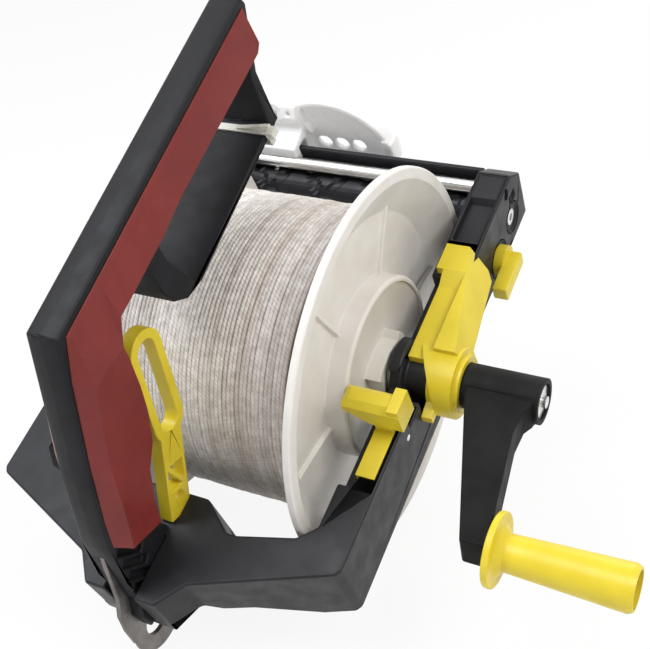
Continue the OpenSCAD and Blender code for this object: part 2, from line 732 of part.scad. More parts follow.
// Line guide: a clamp block over the channel, a foot behind the guide rod and a large arc fin
guide_x = -84;
guide_w = 38;
guide_up = 41;
guide_neck = 9;
fin_x = -27;
fin_z = -6;
fin_y = 8;
fin_bead = 3;
notch_r = 5.5;
notch_step = 14;
notch_in = 10;
guide_eye_r = 3;
guide_slot = [8, 20];
saddle_r = rod_r + run_fit;
end_rib = 7;
module line_guide() {
    top_y = guide_y + guide_t;
    foot_z = rod_at[1] - rod_r - air / 2;
    color("white") stand() difference() {
        union() {
            // Clamp block behind the channel, stepped in towards its top
            along_x(guide_x, guide_x + guide_w) polygon([[guide_y, -guide_low], [top_y, -guide_low],
                [top_y, guide_up - guide_neck], [top_y - guide_neck / 2, guide_up], [guide_y, guide_up],
                [guide_y - guide_neck / 2, guide_up - guide_neck], [guide_y, guide_up - 2 * guide_neck]]);
            // Bridge over the channel and pointed foot down to the guide rod
            along_x(guide_x, guide_x + guide_w) polygon([[guide_y + over, channel_up + air], [guide_y + over, channel_up + guide_neck + air],
                [rod_y, channel_up + guide_neck / 2 + air], [rod_y, foot_z], [channel_y - air, foot_z],
                [channel_y - air, channel_up + air]]);
            // Arc fin with a beaded rim and an end rib
            translate([0, guide_y + fin_y, 0]) intersection() {
                union() {
                    translate([fin_x, 0, fin_z]) rotate([-90, 0, 0]) cylinder(r = fin_r - fin_bead / 2, h = fin_t);
                    translate([fin_x, -fin_bead / 2, fin_z]) rotate([-90, 0, 0]) difference() {
                        cylinder(r = fin_r, h = fin_t + fin_bead);
                        translate([0, 0, -over]) cylinder(r = fin_r - fin_bead, h = fin_t + fin_bead + 2 * over);
                    }
                }
                block([guide_x + guide_w - over, -fin_bead, fin_z], [fin_x + fin_r + over, fin_t + fin_bead, fin_z + fin_r + over]);
            }
            block([fin_x + fin_r - end_rib, guide_y + fin_y - end_rib / 2, -guide_low], [fin_x + fin_r, guide_y + fin_y + fin_t + end_rib / 2, fin_z + 2 * end_rib]);
            block([guide_x + guide_w - over, guide_y + fin_y, -guide_low], [fin_x + fin_r - end_rib + over, guide_y + fin_y + fin_t, fin_z + over]);
        }
        // Half-round seat against the guide rod
        bar(rod_at, saddle_r, guide_x - over, guide_x + guide_w + over);
        // Arched notches, line slot and small eye
        for (k = [0 : 2]) translate([guide_x + guide_w + notch_in + k * notch_step, guide_y, fin_z + notch_r])
            rotate([-90, 0, 0]) cylinder(r = notch_r, h = guide_t);
        translate([guide_x + (guide_w - guide_slot[0]) / 2, guide_y - guide_neck, channel_up + 2 * guide_neck - air])
            cube([guide_slot[0], guide_t + 2 * guide_neck, guide_slot[1] - guide_neck]);
        translate([guide_x + guide_w - 2 * guide_eye_r, guide_y - guide_neck, guide_up - 2 * guide_eye_r])
            rotate([-90, 0, 0]) cylinder(r = guide_eye_r / 2, h = guide_t + 2 * guide_neck);
    }
}
follower_t = 3.2;
module guide_follower() {
    mid = guide_x + guide_w / 2;
    foot_z = rod_at[1] - rod_r - air / 2;
    color("silver") stand() block([mid - follower_t / 2, screw_at[0], foot_z - screw_gap + 3 / 2 * air],
        [mid + follower_t / 2, channel_y - air, foot_z]);
}

// Handle, side view given as shares of its reach and height
grip_outline_shares = [[0.492, 0.975], [0.42, 0.858], [-0.503, 0.765], [-0.585, 0.51], [-0.777, 0.206], [-0.745, 0.0885],
    [-0.777, 0.0885], [-0.777, -0.0784], [-1, -0.0784], [-1.005, -0.02]];
grip_hollow_shares = [[-0.64, 0.885], [0.455, 0.99], [0.4, 0.875], [-0.515, 0.785], [-0.605, 0.52], [-0.795, 0.22],
    [-0.915, 0.3], [-0.835, 0.5], [-0.748, 0.686], [-0.692, 0.804]];
loop_outline_shares = [[0.478, 1.0], [0.492, 0.975], [0.45, 0.862], [0.373, 0.662], [0.345, 0.652], [-0.2, 0.588],
    [-0.275, 0.6], [-0.325, 0.645], [-0.332, 0.686], [-0.3, 0.794], [-0.228, 0.804], [-0.249, 0.725], [-0.223, 0.603], [0.332, 0.674],
    [0.42, 0.86], [0.43, 0.93]];
panel_outline_shares = [[-0.645, 0.886], [0.462, 0.9905], [0.478, 0.97], [0.413, 0.862], [-0.243, 0.8], [-0.503, 0.765],
    [-0.585, 0.51], [-0.777, 0.206], [-0.891, 0.27], [-0.918, 0.302], [-0.838, 0.495], [-0.749, 0.681], [-0.693, 0.794]];
loop_top_share = 0.79;
loop_low_share = 0.66;
lattice_count = 4;
lattice_shares = [-0.93, 0.245];
lattice_step_shares = [-0.012, -0.052];
lattice_size = [22, 5.5];
lattice_deep = 4;
lattice_turn = -55;
handle_screw_r = 3;
handle_screw_shares = [[-0.8, 0.45], [-0.65, 0.8], [-0.1, 0.87], [0.36, 0.93]];
hook_root_shares = [[-1.058, -0.12], [-1.051, -0.043], [-1.034, 0.024], [-1, 0.075], [-0.94, 0.25], [-0.9, 0.24], [-0.92, -0.06]];

// Outer edge of the band from the grip's front end over the knee and down the spine
spine_path_shares = [[0.477, 1.0], [-0.653, 0.892], [-0.845, 0.495], [-0.927, 0.299], [-0.969, 0.054]];
spine = spread(spine_path_shares, handle_back, handle_up);
spine_last = len(spine) - 1;
crown_far = 2 * crown_h;
crown_shares = [[1, 0], [0.85, 0.42], [0.5, 0.85], [0, 1]];
function outward(i) = let (d = spine[i + 1] - spine[i]) [d[1], -d[0]] / norm(d);
function lifted(i) = i == 0 ? outward(0) : i == spine_last ? outward(i - 1) : (outward(i - 1) + outward(i)) / 2;
band_outline = concat(spread(grip_outline_shares, handle_back, handle_up), [spine[spine_last]],
    [for (i = [spine_last : -1 : 0]) spine[i] + lifted(i) * crown_far]);
// What is taken off one straight length of the band, so that its outer face is crowned towards the seam
module crown_cut(i) {
    a = spine[i];
    b = spine[i + 1];
    past = i + 1 == spine_last ? over : 2 * crown_far;
    translate([0, a[0], a[1]]) rotate([atan2(b[1] - a[1], b[0] - a[0]), 0, 0])
        along_y(-2 * crown_far, norm(b - a) + past)
            polygon(concat([[-over, -crown_h], [-over, -2 * crown_far], [grip_w / 2 + over, -2 * crown_far],
                [grip_w / 2 + over, 0]], [for (s = crown_shares) [s[0] * grip_w / 2, -s[1] * crown_h]]));
}
module handle_half() {
    difference() {
        union() {
            difference() {
                along_x(0, grip_w / 2) polygon(band_outline);
                for (i = [0 : spine_last - 1]) crown_cut(i);
            }
            intersection() {
                along_x(0, guard_w / 2) polygon(spread(loop_outline_shares, handle_back, handle_up));
                along_y(-handle_back, handle_back) polygon([[0, 0], [guard_w / 2, 0], [guard_w / 2, handle_up * loop_low_share],
                    [grip_w / 2, handle_up * loop_top_share], [grip_w / 2, 2 * handle_up], [0, 2 * handle_up]]);
            }
        }
        along_x(-over, grip_w / 2 - wall_t) polygon(spread(grip_hollow_shares, handle_back, handle_up));
        hook_plate();
        for (k = [0 : lattice_count - 1]) {
            at = on_handle(lattice_shares + k * lattice_step_shares);
            translate([grip_w / 2 - lattice_deep, at[0], at[1]]) rotate([lattice_turn, 0, 0])
                cube([lattice_deep + over, lattice_size[0], lattice_size[1]]);
        }
        for (s = handle_screw_shares) bar(on_handle(s), handle_screw_r, -over, grip_w / 2 + over);
    }
}
module hook_plate() {
    bar(ring_at, hook_d / 2, -hook_t / 2, hook_t / 2);
    along_x(-hook_t / 2, hook_t / 2) polygon(concat(spread(hook_root_shares, handle_back, handle_up),
        [ring_at + [hook_d / 3, -hook_t], ring_at - [hook_d / 3, hook_t]]));
}
module handle_right() { color("dimgray") stand() handle_half(); }
module handle_left() { color("dimgray") stand() mirror([1, 0, 0]) handle_half(); }
module handle_screws() {
    color("silver") stand() for (s = handle_screw_shares) bar(on_handle(s), handle_screw_r, -grip_w / 2, grip_w / 2);
}
module hanging_hook() {
    color("silver") stand() difference() {
        hook_plate();
        bar(eye_at, eye_d / 2, -hook_t, hook_t);
    }
}

// Side panels: a slanted face along the grip, a bevel along the spine and a facet across the knee
bevel_edge_t = 0.8;
bevel_w = 12;
bevel_grip_w = 19;
knee_w = 26;
knee_turn = -133;
module bevel_cut(at, turn, l, w) {
    x0 = grip_w / 2;
    translate([0, at[0], at[1]]) rotate([turn, 0, 0]) along_y(-w, l + w) polygon([[x0 + bevel_edge_t, 0], [x0 + panel_t, w],
        [x0 + panel_t + over, w], [x0 + panel_t + over, -w], [x0 + bevel_edge_t, -w]]);
}
module panel_half() {
    x0 = grip_w / 2;
    difference() {
        along_x(x0, x0 + panel_t) polygon(spread(panel_outline_shares, handle_back, handle_up));
        for (i = [0 : len(spine) - 3]) {
            d = spine[i + 1] - spine[i];
            bevel_cut(spine[i], atan2(d[1], d[0]), norm(d), i == 0 ? bevel_grip_w : bevel_w);
        }
        bevel_cut(spine[1], knee_turn, bevel_w, knee_w);
    }
}
module panel_right() { color("firebrick") stand() panel_half(); }
module panel_left() { color("firebrick") stand() mirror([1, 0, 0]) panel_half(); }

// Cable tie round the hand guard
tie_share = 0.29;
tie_w = 4.5;
tie_t = 1.2;
tie_head = [5, 6, 5];
tie_tail_l = 24;
tie_tail_turn = -12;
guard_top_shares = [[-0.223, 0.603], [0.332, 0.674]];
guard_low_shares = [[-0.259, 0.556], [0.342, 0.637]];
module cable_tie() {
    a = on_handle(guard_top_shares[0]);
    b = on_handle(guard_top_shares[1]);
    c = on_handle(guard_low_shares[0]);
    d = on_handle(guard_low_shares[1]);
    y = tie_share * handle_back;
    top = a[1] + (b[1] - a[1]) * (y - a[0]) / (b[0] - a[0]);
    low = c[1] + (d[1] - c[1]) * (y - c[0]) / (d[0] - c[0]);
    slope = atan2(b[1] - a[1], b[0] - a[0]);
    color("white") stand() translate([0, y, top]) rotate([slope, 0, 0]) {
        difference() {
            block([-guard_w / 2 - tie_t - air, 0, low - top - tie_t - air], [guard_w / 2 + tie_t + air, tie_w, tie_t + air / 5]);
            block([-guard_w / 2 - air, -over, low - top - air], [guard_w / 2 + air, tie_w + over, air / 5]);
        }
        translate([guard_w / 2 + air, -air, -tie_head[2] / 2]) cube(tie_head);
        translate([guard_w / 2 - tie_tail_l + tie_head[0], tie_w / 4, tie_t]) rotate([0, tie_tail_turn, 0]) cube([tie_tail_l, tie_w / 2, tie_t]);
    }
}

// Selector lever on the spigot of the right arm: a slant-faced hub, a plate in the arm's recess, a tooth over
// the arm's top edge and a ridge whose outer face leans in and flares towards the hub
selector_hub_r = selector_d / 2;
selector_ring_r = 18;
selector_ring_t = 3;
slant_x = 4;
slant_share = 0.48;
plate_top = 1.5;
tooth_up = 6.5;
tooth_l = 20;
tooth_ramp = 10;
tooth_in = 4;
ridge_root_t = 14;
ridge_low = 2;
ridge_end = 5;
ridge_root_z = 9;
ridge_root_y = 6;
ridge_flare = 13;
ridge_lean = 22;
pointer_l = 6;
pointer_w = 5;
module selector_lever() {
    lift = arm_top + air;
    far = selector_l;
    r = selector_hub_r;
    top = arm_top + tooth_up;
    color("gold") stand() difference() {
        union() {
            difference() {
                bar(axis, r, lever_x, selector_x + selector_w - selector_ring_t);
                plan(-far, far) polygon([[lever_x - over, -far], [arm_out - slant_x + slant_share * far, -far],
                    [arm_out - slant_x - slant_share * far, far], [lever_x - over, far]]);
            }
            bar(axis, selector_ring_r, selector_x, selector_x + selector_w);
            difference() {
                union() {
                    along_x(lever_x, selector_x + over) polygon([[0, lever_floor], [lever_end, lever_floor], [lever_end, lift],
                        [far, lift], [far, top], [far - tooth_l, top], [far - tooth_l - tooth_ramp, arm_top + plate_top],
                        [0, arm_top + plate_top]]);
                    along_x(arm_in + tooth_in, selector_x) polygon([[far - tooth_l, lift], [far, lift], [far, top], [far - tooth_l, top]]);
                    along_x(selector_x, selector_x + selector_w) polygon([[ridge_root_y, ridge_root_z], [far - ridge_end, -ridge_low],
                        [far, -ridge_low + ridge_end], [far, top], [ridge_root_y, top]]);
                }
                translate([selector_x + ridge_root_t, ridge_root_y, top]) rotate([0, 0, ridge_flare]) rotate([0, -ridge_lean, 0])
                    translate([0, -far, -far]) cube([far, 3 * far, 2 * far]);
            }
            along_x(selector_x, selector_x + ridge_root_t / 2) polygon([[-r - pointer_l, -pointer_w], [-r - pointer_l, 0],
                [0, pointer_w], [0, -pointer_w]]);
        }
        bar(axis, spigot_r + run_fit, lever_x - over, selector_x + selector_w + over);
    }
}

// Brake knob: a round base with a straight wing, on a rod that bears on the flange rim
knob_t = 5;
wing_t = 9;
wing_w = 11;
wing_over = 5;
pad_r = 7;
module wing_knob() {
    base_x = arm_out - tip_bed + air;
    color("gold") stand() {
        bar(knob_at, knob_d / 2, base_x, selector_x + knob_t);
        translate([selector_x + knob_t - over, knob_at[0] + wing_over - wing_l, knob_at[1] - wing_w / 2]) cube([wing_t + over, wing_l, wing_w]);
    }
}
module brake_rod() {
    color("silver") stand() bar(knob_at, brake_r, arm_in + air, arm_out - tip_bed + air);
}
module brake_pad() {
    color("dimgray") stand() bar(knob_at, pad_r, rim_x + air, arm_in);
}

module drum_lock() {
    y = pawl_at[0];
    top = pawl_head_up;
    out = arm_out + pawl_stick_out;
    color("gold") stand() difference() {
        union() {
            intersection() {
                along_y(y - pawl_head_back, y + pawl_head_front) polygon([[rim_x + air, pawl_nose_low], [rim_x + air, top - pawl_chamfer / 2],
                    [rim_x + pawl_chamfer, top], [out, top], [out, pawl_head_low], [pawl_x, pawl_head_low]]);
                along_x(rim_x, out + over) polygon([[y - pawl_head_back, 0], [y + pawl_head_front, 0], [y + pawl_head_front, top - pawl_chamfer],
                    [y + pawl_head_front - pawl_chamfer, top], [y - pawl_head_back + pawl_chamfer, top], [y - pawl_head_back, top - pawl_chamfer]]);
            }
            block([out - pawl_block_t, y - pawl_head_back + air, pawl_head_low - over], [out, y + pawl_head_front + 2 * over, top + over]);
            bar(pawl_at, pawl_hub_r, pawl_x, pawl_x + pawl_t);
            block([pawl_x, y - pawl_hub_r, pawl_at[1]], [pawl_x + pawl_t, y + pawl_hub_r - air, pawl_head_low + over]);
            block([pawl_x, y - pawl_l, pawl_tail_z], [pawl_x + pawl_t, y, pawl_tail_z + pawl_tail_t]);
        }
        bar(pawl_at, pawl_pin_r + run_fit, arm_in, arm_out);
    }
}
module pawl_pin() {
    color("silver") stand() bar(pawl_at, pawl_pin_r, arm_in, arm_out);
}
spring_t = 0.8;
spring_l = 22;
module pawl_spring() {
    y = pawl_at[0] - pawl_l;
    floor_z = pawl_at[1] - pawl_bed;
    color("silver") stand() along_x(pawl_x + pawl_t / 4, pawl_x + pawl_t * 3 / 4) polygon([[y, floor_z], [y + spring_l, floor_z],
        [y + spring_l, floor_z + spring_t], [y + 3 * spring_t, floor_z + spring_t], [y + 3 * spring_t, pawl_tail_z - air],
        [y + 2 * spring_t, pawl_tail_z - air], [y + spring_t, floor_z + spring_t], [y, floor_z + spring_t]]);
}

// Hook handle, stood in a socket of the rear member: a flat pierced end that leans back and a long finger loop
handle_foot_at = [-133.5, 15];
socket_fit = 0.3;
flat_lean = -28;
loop_lean = -15;
handle_x = 3;
handle_t = 9;
handle_flat_w = 19;
handle_flat_l = 66;
handle_loop_r = 13.5;
handle_loop_l = 49;
handle_hole_r = 7.5;
handle_pierce_r = 4.2;
handle_pierce_at = 13;
handle_web = 2.4;
module handle_socket() {
    translate(handle_foot_at) rotate(flat_lean) translate([-handle_flat_w / 2 - socket_fit, 0])
        square([handle_flat_w + 2 * socket_fit, handle_flat_l]);
}
module hook_handle() {
    w = handle_flat_w / 2 - handle_web;
    y0 = handle_pierce_at + handle_pierce_r + handle_web;
    color("gold") stand() along_x(handle_x, handle_x + handle_t) translate(handle_foot_at) rotate(flat_lean) difference() {
        union() {
            translate([-handle_flat_w / 2, 0]) square([handle_flat_w, handle_flat_l]);
            translate([0, handle_flat_l]) rotate(loop_lean - flat_lean) stadium(handle_loop_r, handle_loop_l);
        }
        translate([0, handle_flat_l]) rotate(loop_lean - flat_lean) stadium(handle_hole_r, handle_loop_l);
        translate([0, handle_pierce_at]) circle(r = handle_pierce_r);
        polygon([[-w, y0], [w - handle_web, y0], [-w, y0 + 2 * w]]);
        polygon([[w, y0 + handle_web], [w, y0 + 2 * w + handle_web], [handle_web - w, y0 + 2 * w + handle_web]]);
    }
}

// Cord: plain lower layers, and one unbroken helix of turns for the outer layer
cord_rings = 24;
cord_sides = 6;
cord_r = cord_d / 2;
wind_r = winding_d / 2 - cord_r;
wind_edge = 1.2;
wind_half = web_x - wind_edge - cord_r;
wind_pitch = 2 * wind_half / cord_loops;
wind_steps = cord_loops * cord_rings;
core_gap = 0.1;
core_r = (wind_r - cord_r) * cos(180 / cord_rings) - core_gap;
function wind_mid(i) = let (a = 360 * i / cord_rings) [-wind_half + wind_pitch * i / cord_rings, wind_r * cos(a), wind_r * sin(a)];
function wind_out(i) = let (a = 360 * i / cord_rings) [0, cos(a), sin(a)];
function wind_along(i) = let (a = 360 * i / cord_rings) [0, -sin(a), cos(a)];
wind_path = concat([wind_mid(0) - cord_d * wind_along(0)], [for (i = [0 : wind_steps]) wind_mid(i)],
    [wind_mid(wind_steps) + cord_d * wind_along(wind_steps)]);
wind_outs = concat([wind_out(0)], [for (i = [0 : wind_steps]) wind_out(i)], [wind_out(wind_steps)]);
echo(least_gap_between_turns = min([for (i = [0 : cord_rings]) norm(wind_mid(i + cord_rings) - wind_mid(i))]) - cord_d);
module cord_winding() {
    n = cord_sides;
    m = len(wind_path);
    points = [for (i = [0 : m - 1]) for (k = [0 : n - 1]) let (a = 360 * k / n)
        wind_path[i] + cord_r * (cos(a) * wind_outs[i] + [sin(a), 0, 0])];
    skin = [for (i = [0 : m - 2]) for (k = [0 : n - 1]) let (a = i * n + k, b = i * n + (k + 1) % n)
        each [[a, b, a + n], [b, b + n, a + n]]];
    ends = [for (k = [1 : n - 2]) each [[0, k + 1, k], [(m - 1) * n, (m - 1) * n + k, (m - 1) * n + k + 1]]];
    color("lightgray") stand() polyhedron(points, concat(skin, ends));
}
module cord_core() {
    color("gray") stand() tube(axis, core_r, barrel_r, -web_x + wind_edge, web_x - wind_edge);
}

frame();
front_channel();
handle_right();
handle_left();
panel_right();
panel_left();
handle_screws();
hanging_hook();
cable_tie();
axle();
axle_washer();
crank_bush();
ring_gear();
guide_rod();
tip_screws();
screw_bushes();
drive_belt();
belt_cover();
cover_screws();
pawl_pin();
pawl_spring();
brake_pad();
flange_right();
flange_left();
hub_cap();
drum_barrel();
drum_bulkhead();
drum_bushes();
sun_gear();
drum_pulley();
cord_core();
cord_winding();
crank_arm();
planet_carrier();
grip_pin();
crank_grip();
planet_1();
planet_2();
planet_3();
level_screw();
screw_shaft();
screw_pulley();
line_guide();
guide_follower();
selector_lever();
wing_knob();
brake_rod();
drum_lock();
hook_handle();
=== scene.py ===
# %% [markdown]
# # A fence reel in Blender
# The solids of the reel come from its CAD model, packed in metres with every piece already in place. This
# lesson loads them, sets a camera, and then dresses each piece: rounded edges for the mouldings, a
# twisted line on the drum, and a finish for each plastic and metal.

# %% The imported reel
import bmesh
import bpy
import json
import math
import random
from mathutils import Matrix, Vector


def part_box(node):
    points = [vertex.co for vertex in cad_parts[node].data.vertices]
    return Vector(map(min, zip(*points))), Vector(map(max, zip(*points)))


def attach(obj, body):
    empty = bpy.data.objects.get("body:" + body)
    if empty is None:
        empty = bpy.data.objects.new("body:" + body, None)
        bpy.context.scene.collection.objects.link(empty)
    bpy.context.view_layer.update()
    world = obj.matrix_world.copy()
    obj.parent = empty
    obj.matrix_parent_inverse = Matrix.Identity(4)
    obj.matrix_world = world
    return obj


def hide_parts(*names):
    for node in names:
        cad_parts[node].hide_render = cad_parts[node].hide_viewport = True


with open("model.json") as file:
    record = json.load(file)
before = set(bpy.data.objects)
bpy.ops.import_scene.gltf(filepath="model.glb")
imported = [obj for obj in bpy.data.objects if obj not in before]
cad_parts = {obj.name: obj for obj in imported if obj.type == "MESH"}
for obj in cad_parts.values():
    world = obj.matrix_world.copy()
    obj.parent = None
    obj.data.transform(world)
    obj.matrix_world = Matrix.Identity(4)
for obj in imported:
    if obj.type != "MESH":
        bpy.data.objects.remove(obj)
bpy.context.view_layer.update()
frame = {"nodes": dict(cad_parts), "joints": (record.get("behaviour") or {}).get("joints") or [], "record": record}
nodes = frame["nodes"]
MM = 0.001
SEAM_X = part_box("handle_right")[0].x
AXLE = Vector(next(joint["pos_m"] for joint in frame["joints"] if joint["name"] == "drum_spin"))
LEAN = math.radians(23.577)


def on_reel(x, y, z):
    """A place in millimetres from the axle and the middle seam of the upright reel, on the leaning reel."""
    back = y * math.cos(LEAN) - z * math.sin(LEAN)
    up = y * math.sin(LEAN) + z * math.cos(LEAN)
    return Vector((SEAM_X + x * MM, AXLE.y + back * MM, AXLE.z + up * MM))


# %% [markdown]
# ## The camera
# A photograph's camera can be found from the reel itself: the flange is a true circle and the arms are
# parallel, so their picture fixes where the eye stood. The lens was found in pixels, and the sensor's
# width turns that into millimetres.

# %% Camera
EYE = Vector((0.27175, -0.49824, 0.50805))
LOOK = Vector((-0.4357, 0.73313, -0.52237)).normalized()
UP = Vector((0.0, 0.17748, 0.98414))
SENSOR_MM = 36.0
LENS_PX = 1099.7
PICTURE_PX = 650
right = LOOK.cross(UP).normalized()
over_head = right.cross(LOOK)
camera_data = bpy.data.cameras.new("camera")
camera_data.sensor_fit = "HORIZONTAL"
camera_data.sensor_width = SENSOR_MM
camera_data.lens = SENSOR_MM * LENS_PX / PICTURE_PX
camera = bpy.data.objects.new("camera", camera_data)
facing = Matrix((right, over_head, -LOOK)).transposed().to_4x4()
camera.matrix_world = Matrix.Translation(EYE) @ facing
bpy.context.scene.collection.objects.link(camera)
bpy.context.scene.camera = camera
bpy.context.scene.view_settings.view_transform = "Standard"
print("camera at", [round(v, 3) for v in EYE])

# %% [markdown]
# ## Room and light
# A product picture has a white surround and wide soft lamps. The floor and the world look white to the
# eye and to reflections, but they light the reel only gently, so that the plastics keep their own
# colours.

# %% Shader helpers
def new_material(name):
    """A material with nothing in its shader tree but an output."""
    material = bpy.data.materials.new(name)
    material.use_nodes = True
    tree = material.node_tree
    tree.nodes.clear()
    out = tree.nodes.new("ShaderNodeOutputMaterial")
    return material, tree, out


def reckon(tree, operation, *values):
    """One step of arithmetic in a shader. Each value is a socket to link, or a plain number."""
    node = tree.nodes.new("ShaderNodeMath")
    node.operation = operation
    for socket, value in zip(node.inputs, values):
        if isinstance(value, (int, float)):
            socket.default_value = value
        else:
            tree.links.new(value, socket)
    return node.outputs[0]


def seen_directly(tree):
    """1 for rays from the eye, a reflection or through something clear, 0 for rays that light the reel."""
    path = tree.nodes.new("ShaderNodeLightPath")
    eye_or_shine = reckon(tree, "MAXIMUM", path.outputs["Is Camera Ray"], path.outputs["Is Glossy Ray"])
    return reckon(tree, "MAXIMUM", eye_or_shine, path.outputs["Is Transmission Ray"])


def mixed(tree, share, at_none, at_full):
    """Two shaders mixed by a share between 0 and 1."""
    mix = tree.nodes.new("ShaderNodeMixShader")
    for socket, value in zip(mix.inputs, (share, at_none, at_full)):
        tree.links.new(value, socket)
    return mix.outputs[0]


print("shader helpers are ready")

# %% Floor
FLOOR_REACH = 6
FLOOR_DROP = 0.001
FLOOR_GREY = (0.86, 0.86, 0.86, 1)
FLOOR_WHITE_SHARE = 0.9
floor_signs = ((-1, -1), (1, -1), (1, 1), (-1, 1))
floor_corners = [(x * FLOOR_REACH, y * FLOOR_REACH, -FLOOR_DROP) for x, y in floor_signs]
floor_mesh = bpy.data.meshes.new("floor")
floor_mesh.from_pydata(floor_corners, [], [(0, 1, 2, 3)])
floor = bpy.data.objects.new("floor", floor_mesh)
bpy.context.scene.collection.objects.link(floor)
floor_paint, tree, out = new_material("studio_floor")
matte = tree.nodes.new("ShaderNodeBsdfDiffuse")
matte.inputs["Color"].default_value = FLOOR_GREY
white = tree.nodes.new("ShaderNodeEmission")
white.inputs["Strength"].default_value = 1.0
white_share = reckon(tree, "MULTIPLY", seen_directly(tree), FLOOR_WHITE_SHARE)
tree.links.new(mixed(tree, white_share, matte.outputs[0], white.outputs[0]), out.inputs["Surface"])
floor_mesh.materials.append(floor_paint)
print("floor reaches", FLOOR_REACH, "m each way")

# %% World
SKY_SEEN = 1.0
SKY_LIGHT = 0.36


def sky(tree, strength):
    node = tree.nodes.new("ShaderNodeBackground")
    node.inputs["Color"].default_value = (1, 1, 1, 1)
    node.inputs["Strength"].default_value = strength
    return node.outputs[0]


world = bpy.data.worlds.new("studio")
bpy.context.scene.world = world
world.use_nodes = True
tree = world.node_tree
tree.nodes.clear()
out = tree.nodes.new("ShaderNodeOutputWorld")
surround = mixed(tree, seen_directly(tree), sky(tree, SKY_LIGHT), sky(tree, SKY_SEEN))
tree.links.new(surround, out.inputs["Surface"])
print("world is white to the eye and lights the reel at", SKY_LIGHT)

# %% Lamps
MIDDLE = Vector((0.0, 0.0, 0.13))
COOL = (0.93, 0.96, 1.0)
WARM = (1.0, 0.97, 0.93)
PLAIN = (1.0, 1.0, 1.0)


def soft_lamp(name, place, width, watts, tint):
    """A round lamp that faces the middle of the reel."""
    data = bpy.data.lights.new(name, "AREA")
    data.shape = "DISK"
    data.size = width
    data.energy = watts
    data.color = tint
    lamp = bpy.data.objects.new(name, data)
    lamp.location = place
    lamp.rotation_euler = (MIDDLE - Vector(place)).to_track_quat("-Z", "Y").to_euler()
    bpy.context.scene.collection.objects.link(lamp)


soft_lamp("over_left", place=(-0.6, -0.55, 1.5), width=1.2, watts=22, tint=COOL)
soft_lamp("right_side", place=(1.1, -0.3, 1.3), width=0.9, watts=15, tint=WARM)
soft_lamp("behind", place=(0.2, 1.4, 1.0), width=1.0, watts=8, tint=PLAIN)

# %% [markdown]
# ## Plastics
# Injection-moulded plastic is never one flat colour. A fine grain from the mould breaks up its gloss,
# broad clouds shift its colour a little, and handling leaves it slightly more worn and dull in patches.
# All three come from noise read in object space, so the grain keeps its real size on every piece.

# %% Noise and what it drives
NOISE_SPAN = (0.3, 0.7)
SHADE_SPAN = (0.32, 0.68)


def noise(tree, scale, detail, stretch=None):
    place = tree.nodes.new("ShaderNodeTexCoord").outputs["Object"]
    node = tree.nodes.new("ShaderNodeTexNoise")
    node.inputs["Scale"].default_value = scale
    node.inputs["Detail"].default_value = detail
    if stretch:
        mapping = tree.nodes.new("ShaderNodeMapping")
        mapping.inputs["Scale"].default_value = stretch
        tree.links.new(place, mapping.inputs["Vector"])
        place = mapping.outputs["Vector"]
    tree.links.new(place, node.inputs["Vector"])
    return node.outputs["Fac"]


def spread(tree, value, low, high, span=NOISE_SPAN):
    """A value carried from its own span to the range from low to high."""
    node = tree.nodes.new("ShaderNodeMapRange")
    node.inputs["From Min"].default_value = span[0]
    node.inputs["From Max"].default_value = span[1]
    node.inputs["To Min"].default_value = low
    node.inputs["To Max"].default_value = high
    tree.links.new(value, node.inputs["Value"])
    return node.outputs["Result"]


def shades(tree, value, dark, light):
    """Colours between a dark and a light one, picked by a noise value."""
    ramp = tree.nodes.new("ShaderNodeValToRGB")
    ramp.color_ramp.elements[0].position = SHADE_SPAN[0]
    ramp.color_ramp.elements[0].color = (*dark, 1)
    ramp.color_ramp.elements[1].position = SHADE_SPAN[1]
    ramp.color_ramp.elements[1].color = (*light, 1)
    tree.links.new(value, ramp.inputs["Fac"])
    return ramp.outputs["Color"]


def bump(tree, value, strength, depth):
    node = tree.nodes.new("ShaderNodeBump")
    node.inputs["Strength"].default_value = strength
    node.inputs["Distance"].default_value = depth
    tree.links.new(value, node.inputs["Height"])
    return node.outputs["Normal"]


print("noise drives colour, gloss and relief")

# %% Moulded plastic
CLOUDS = {"scale": 38, "detail": 4}
WEAR = {"scale": 90, "detail": 5}
WEAR_SPAN = (-0.07, 0.09)
GRAIN_DETAIL = 3
GRAIN_DEPTH = 0.00012
GLOW_DEPTH = 0.012
FINISH = {}


def moulded(name, dark, light, dull, grain, relief, shine=0.5, clear=0.0, glow=0.0):
    """A plastic finish: dull is its roughness, grain how fine its skin is and relief how strong that is."""
    material, tree, out = new_material(name)
    skin = tree.nodes.new("ShaderNodeBsdfPrincipled")
    tree.links.new(skin.outputs[0], out.inputs["Surface"])
    tree.links.new(shades(tree, noise(tree, **CLOUDS), dark, light), skin.inputs["Base Color"])
    gloss = spread(tree, noise(tree, **WEAR), dull + WEAR_SPAN[0], dull + WEAR_SPAN[1])
    tree.links.new(gloss, skin.inputs["Roughness"])
    tree.links.new(bump(tree, noise(tree, grain, GRAIN_DETAIL), relief, GRAIN_DEPTH), skin.inputs["Normal"])
    skin.inputs["Specular IOR Level"].default_value = shine
    skin.inputs["Transmission Weight"].default_value = clear
    skin.inputs["Subsurface Weight"].default_value = glow
    skin.inputs["Subsurface Radius"].default_value = (1.0, 1.0, 1.0)
    skin.inputs["Subsurface Scale"].default_value = GLOW_DEPTH
    FINISH[name] = material


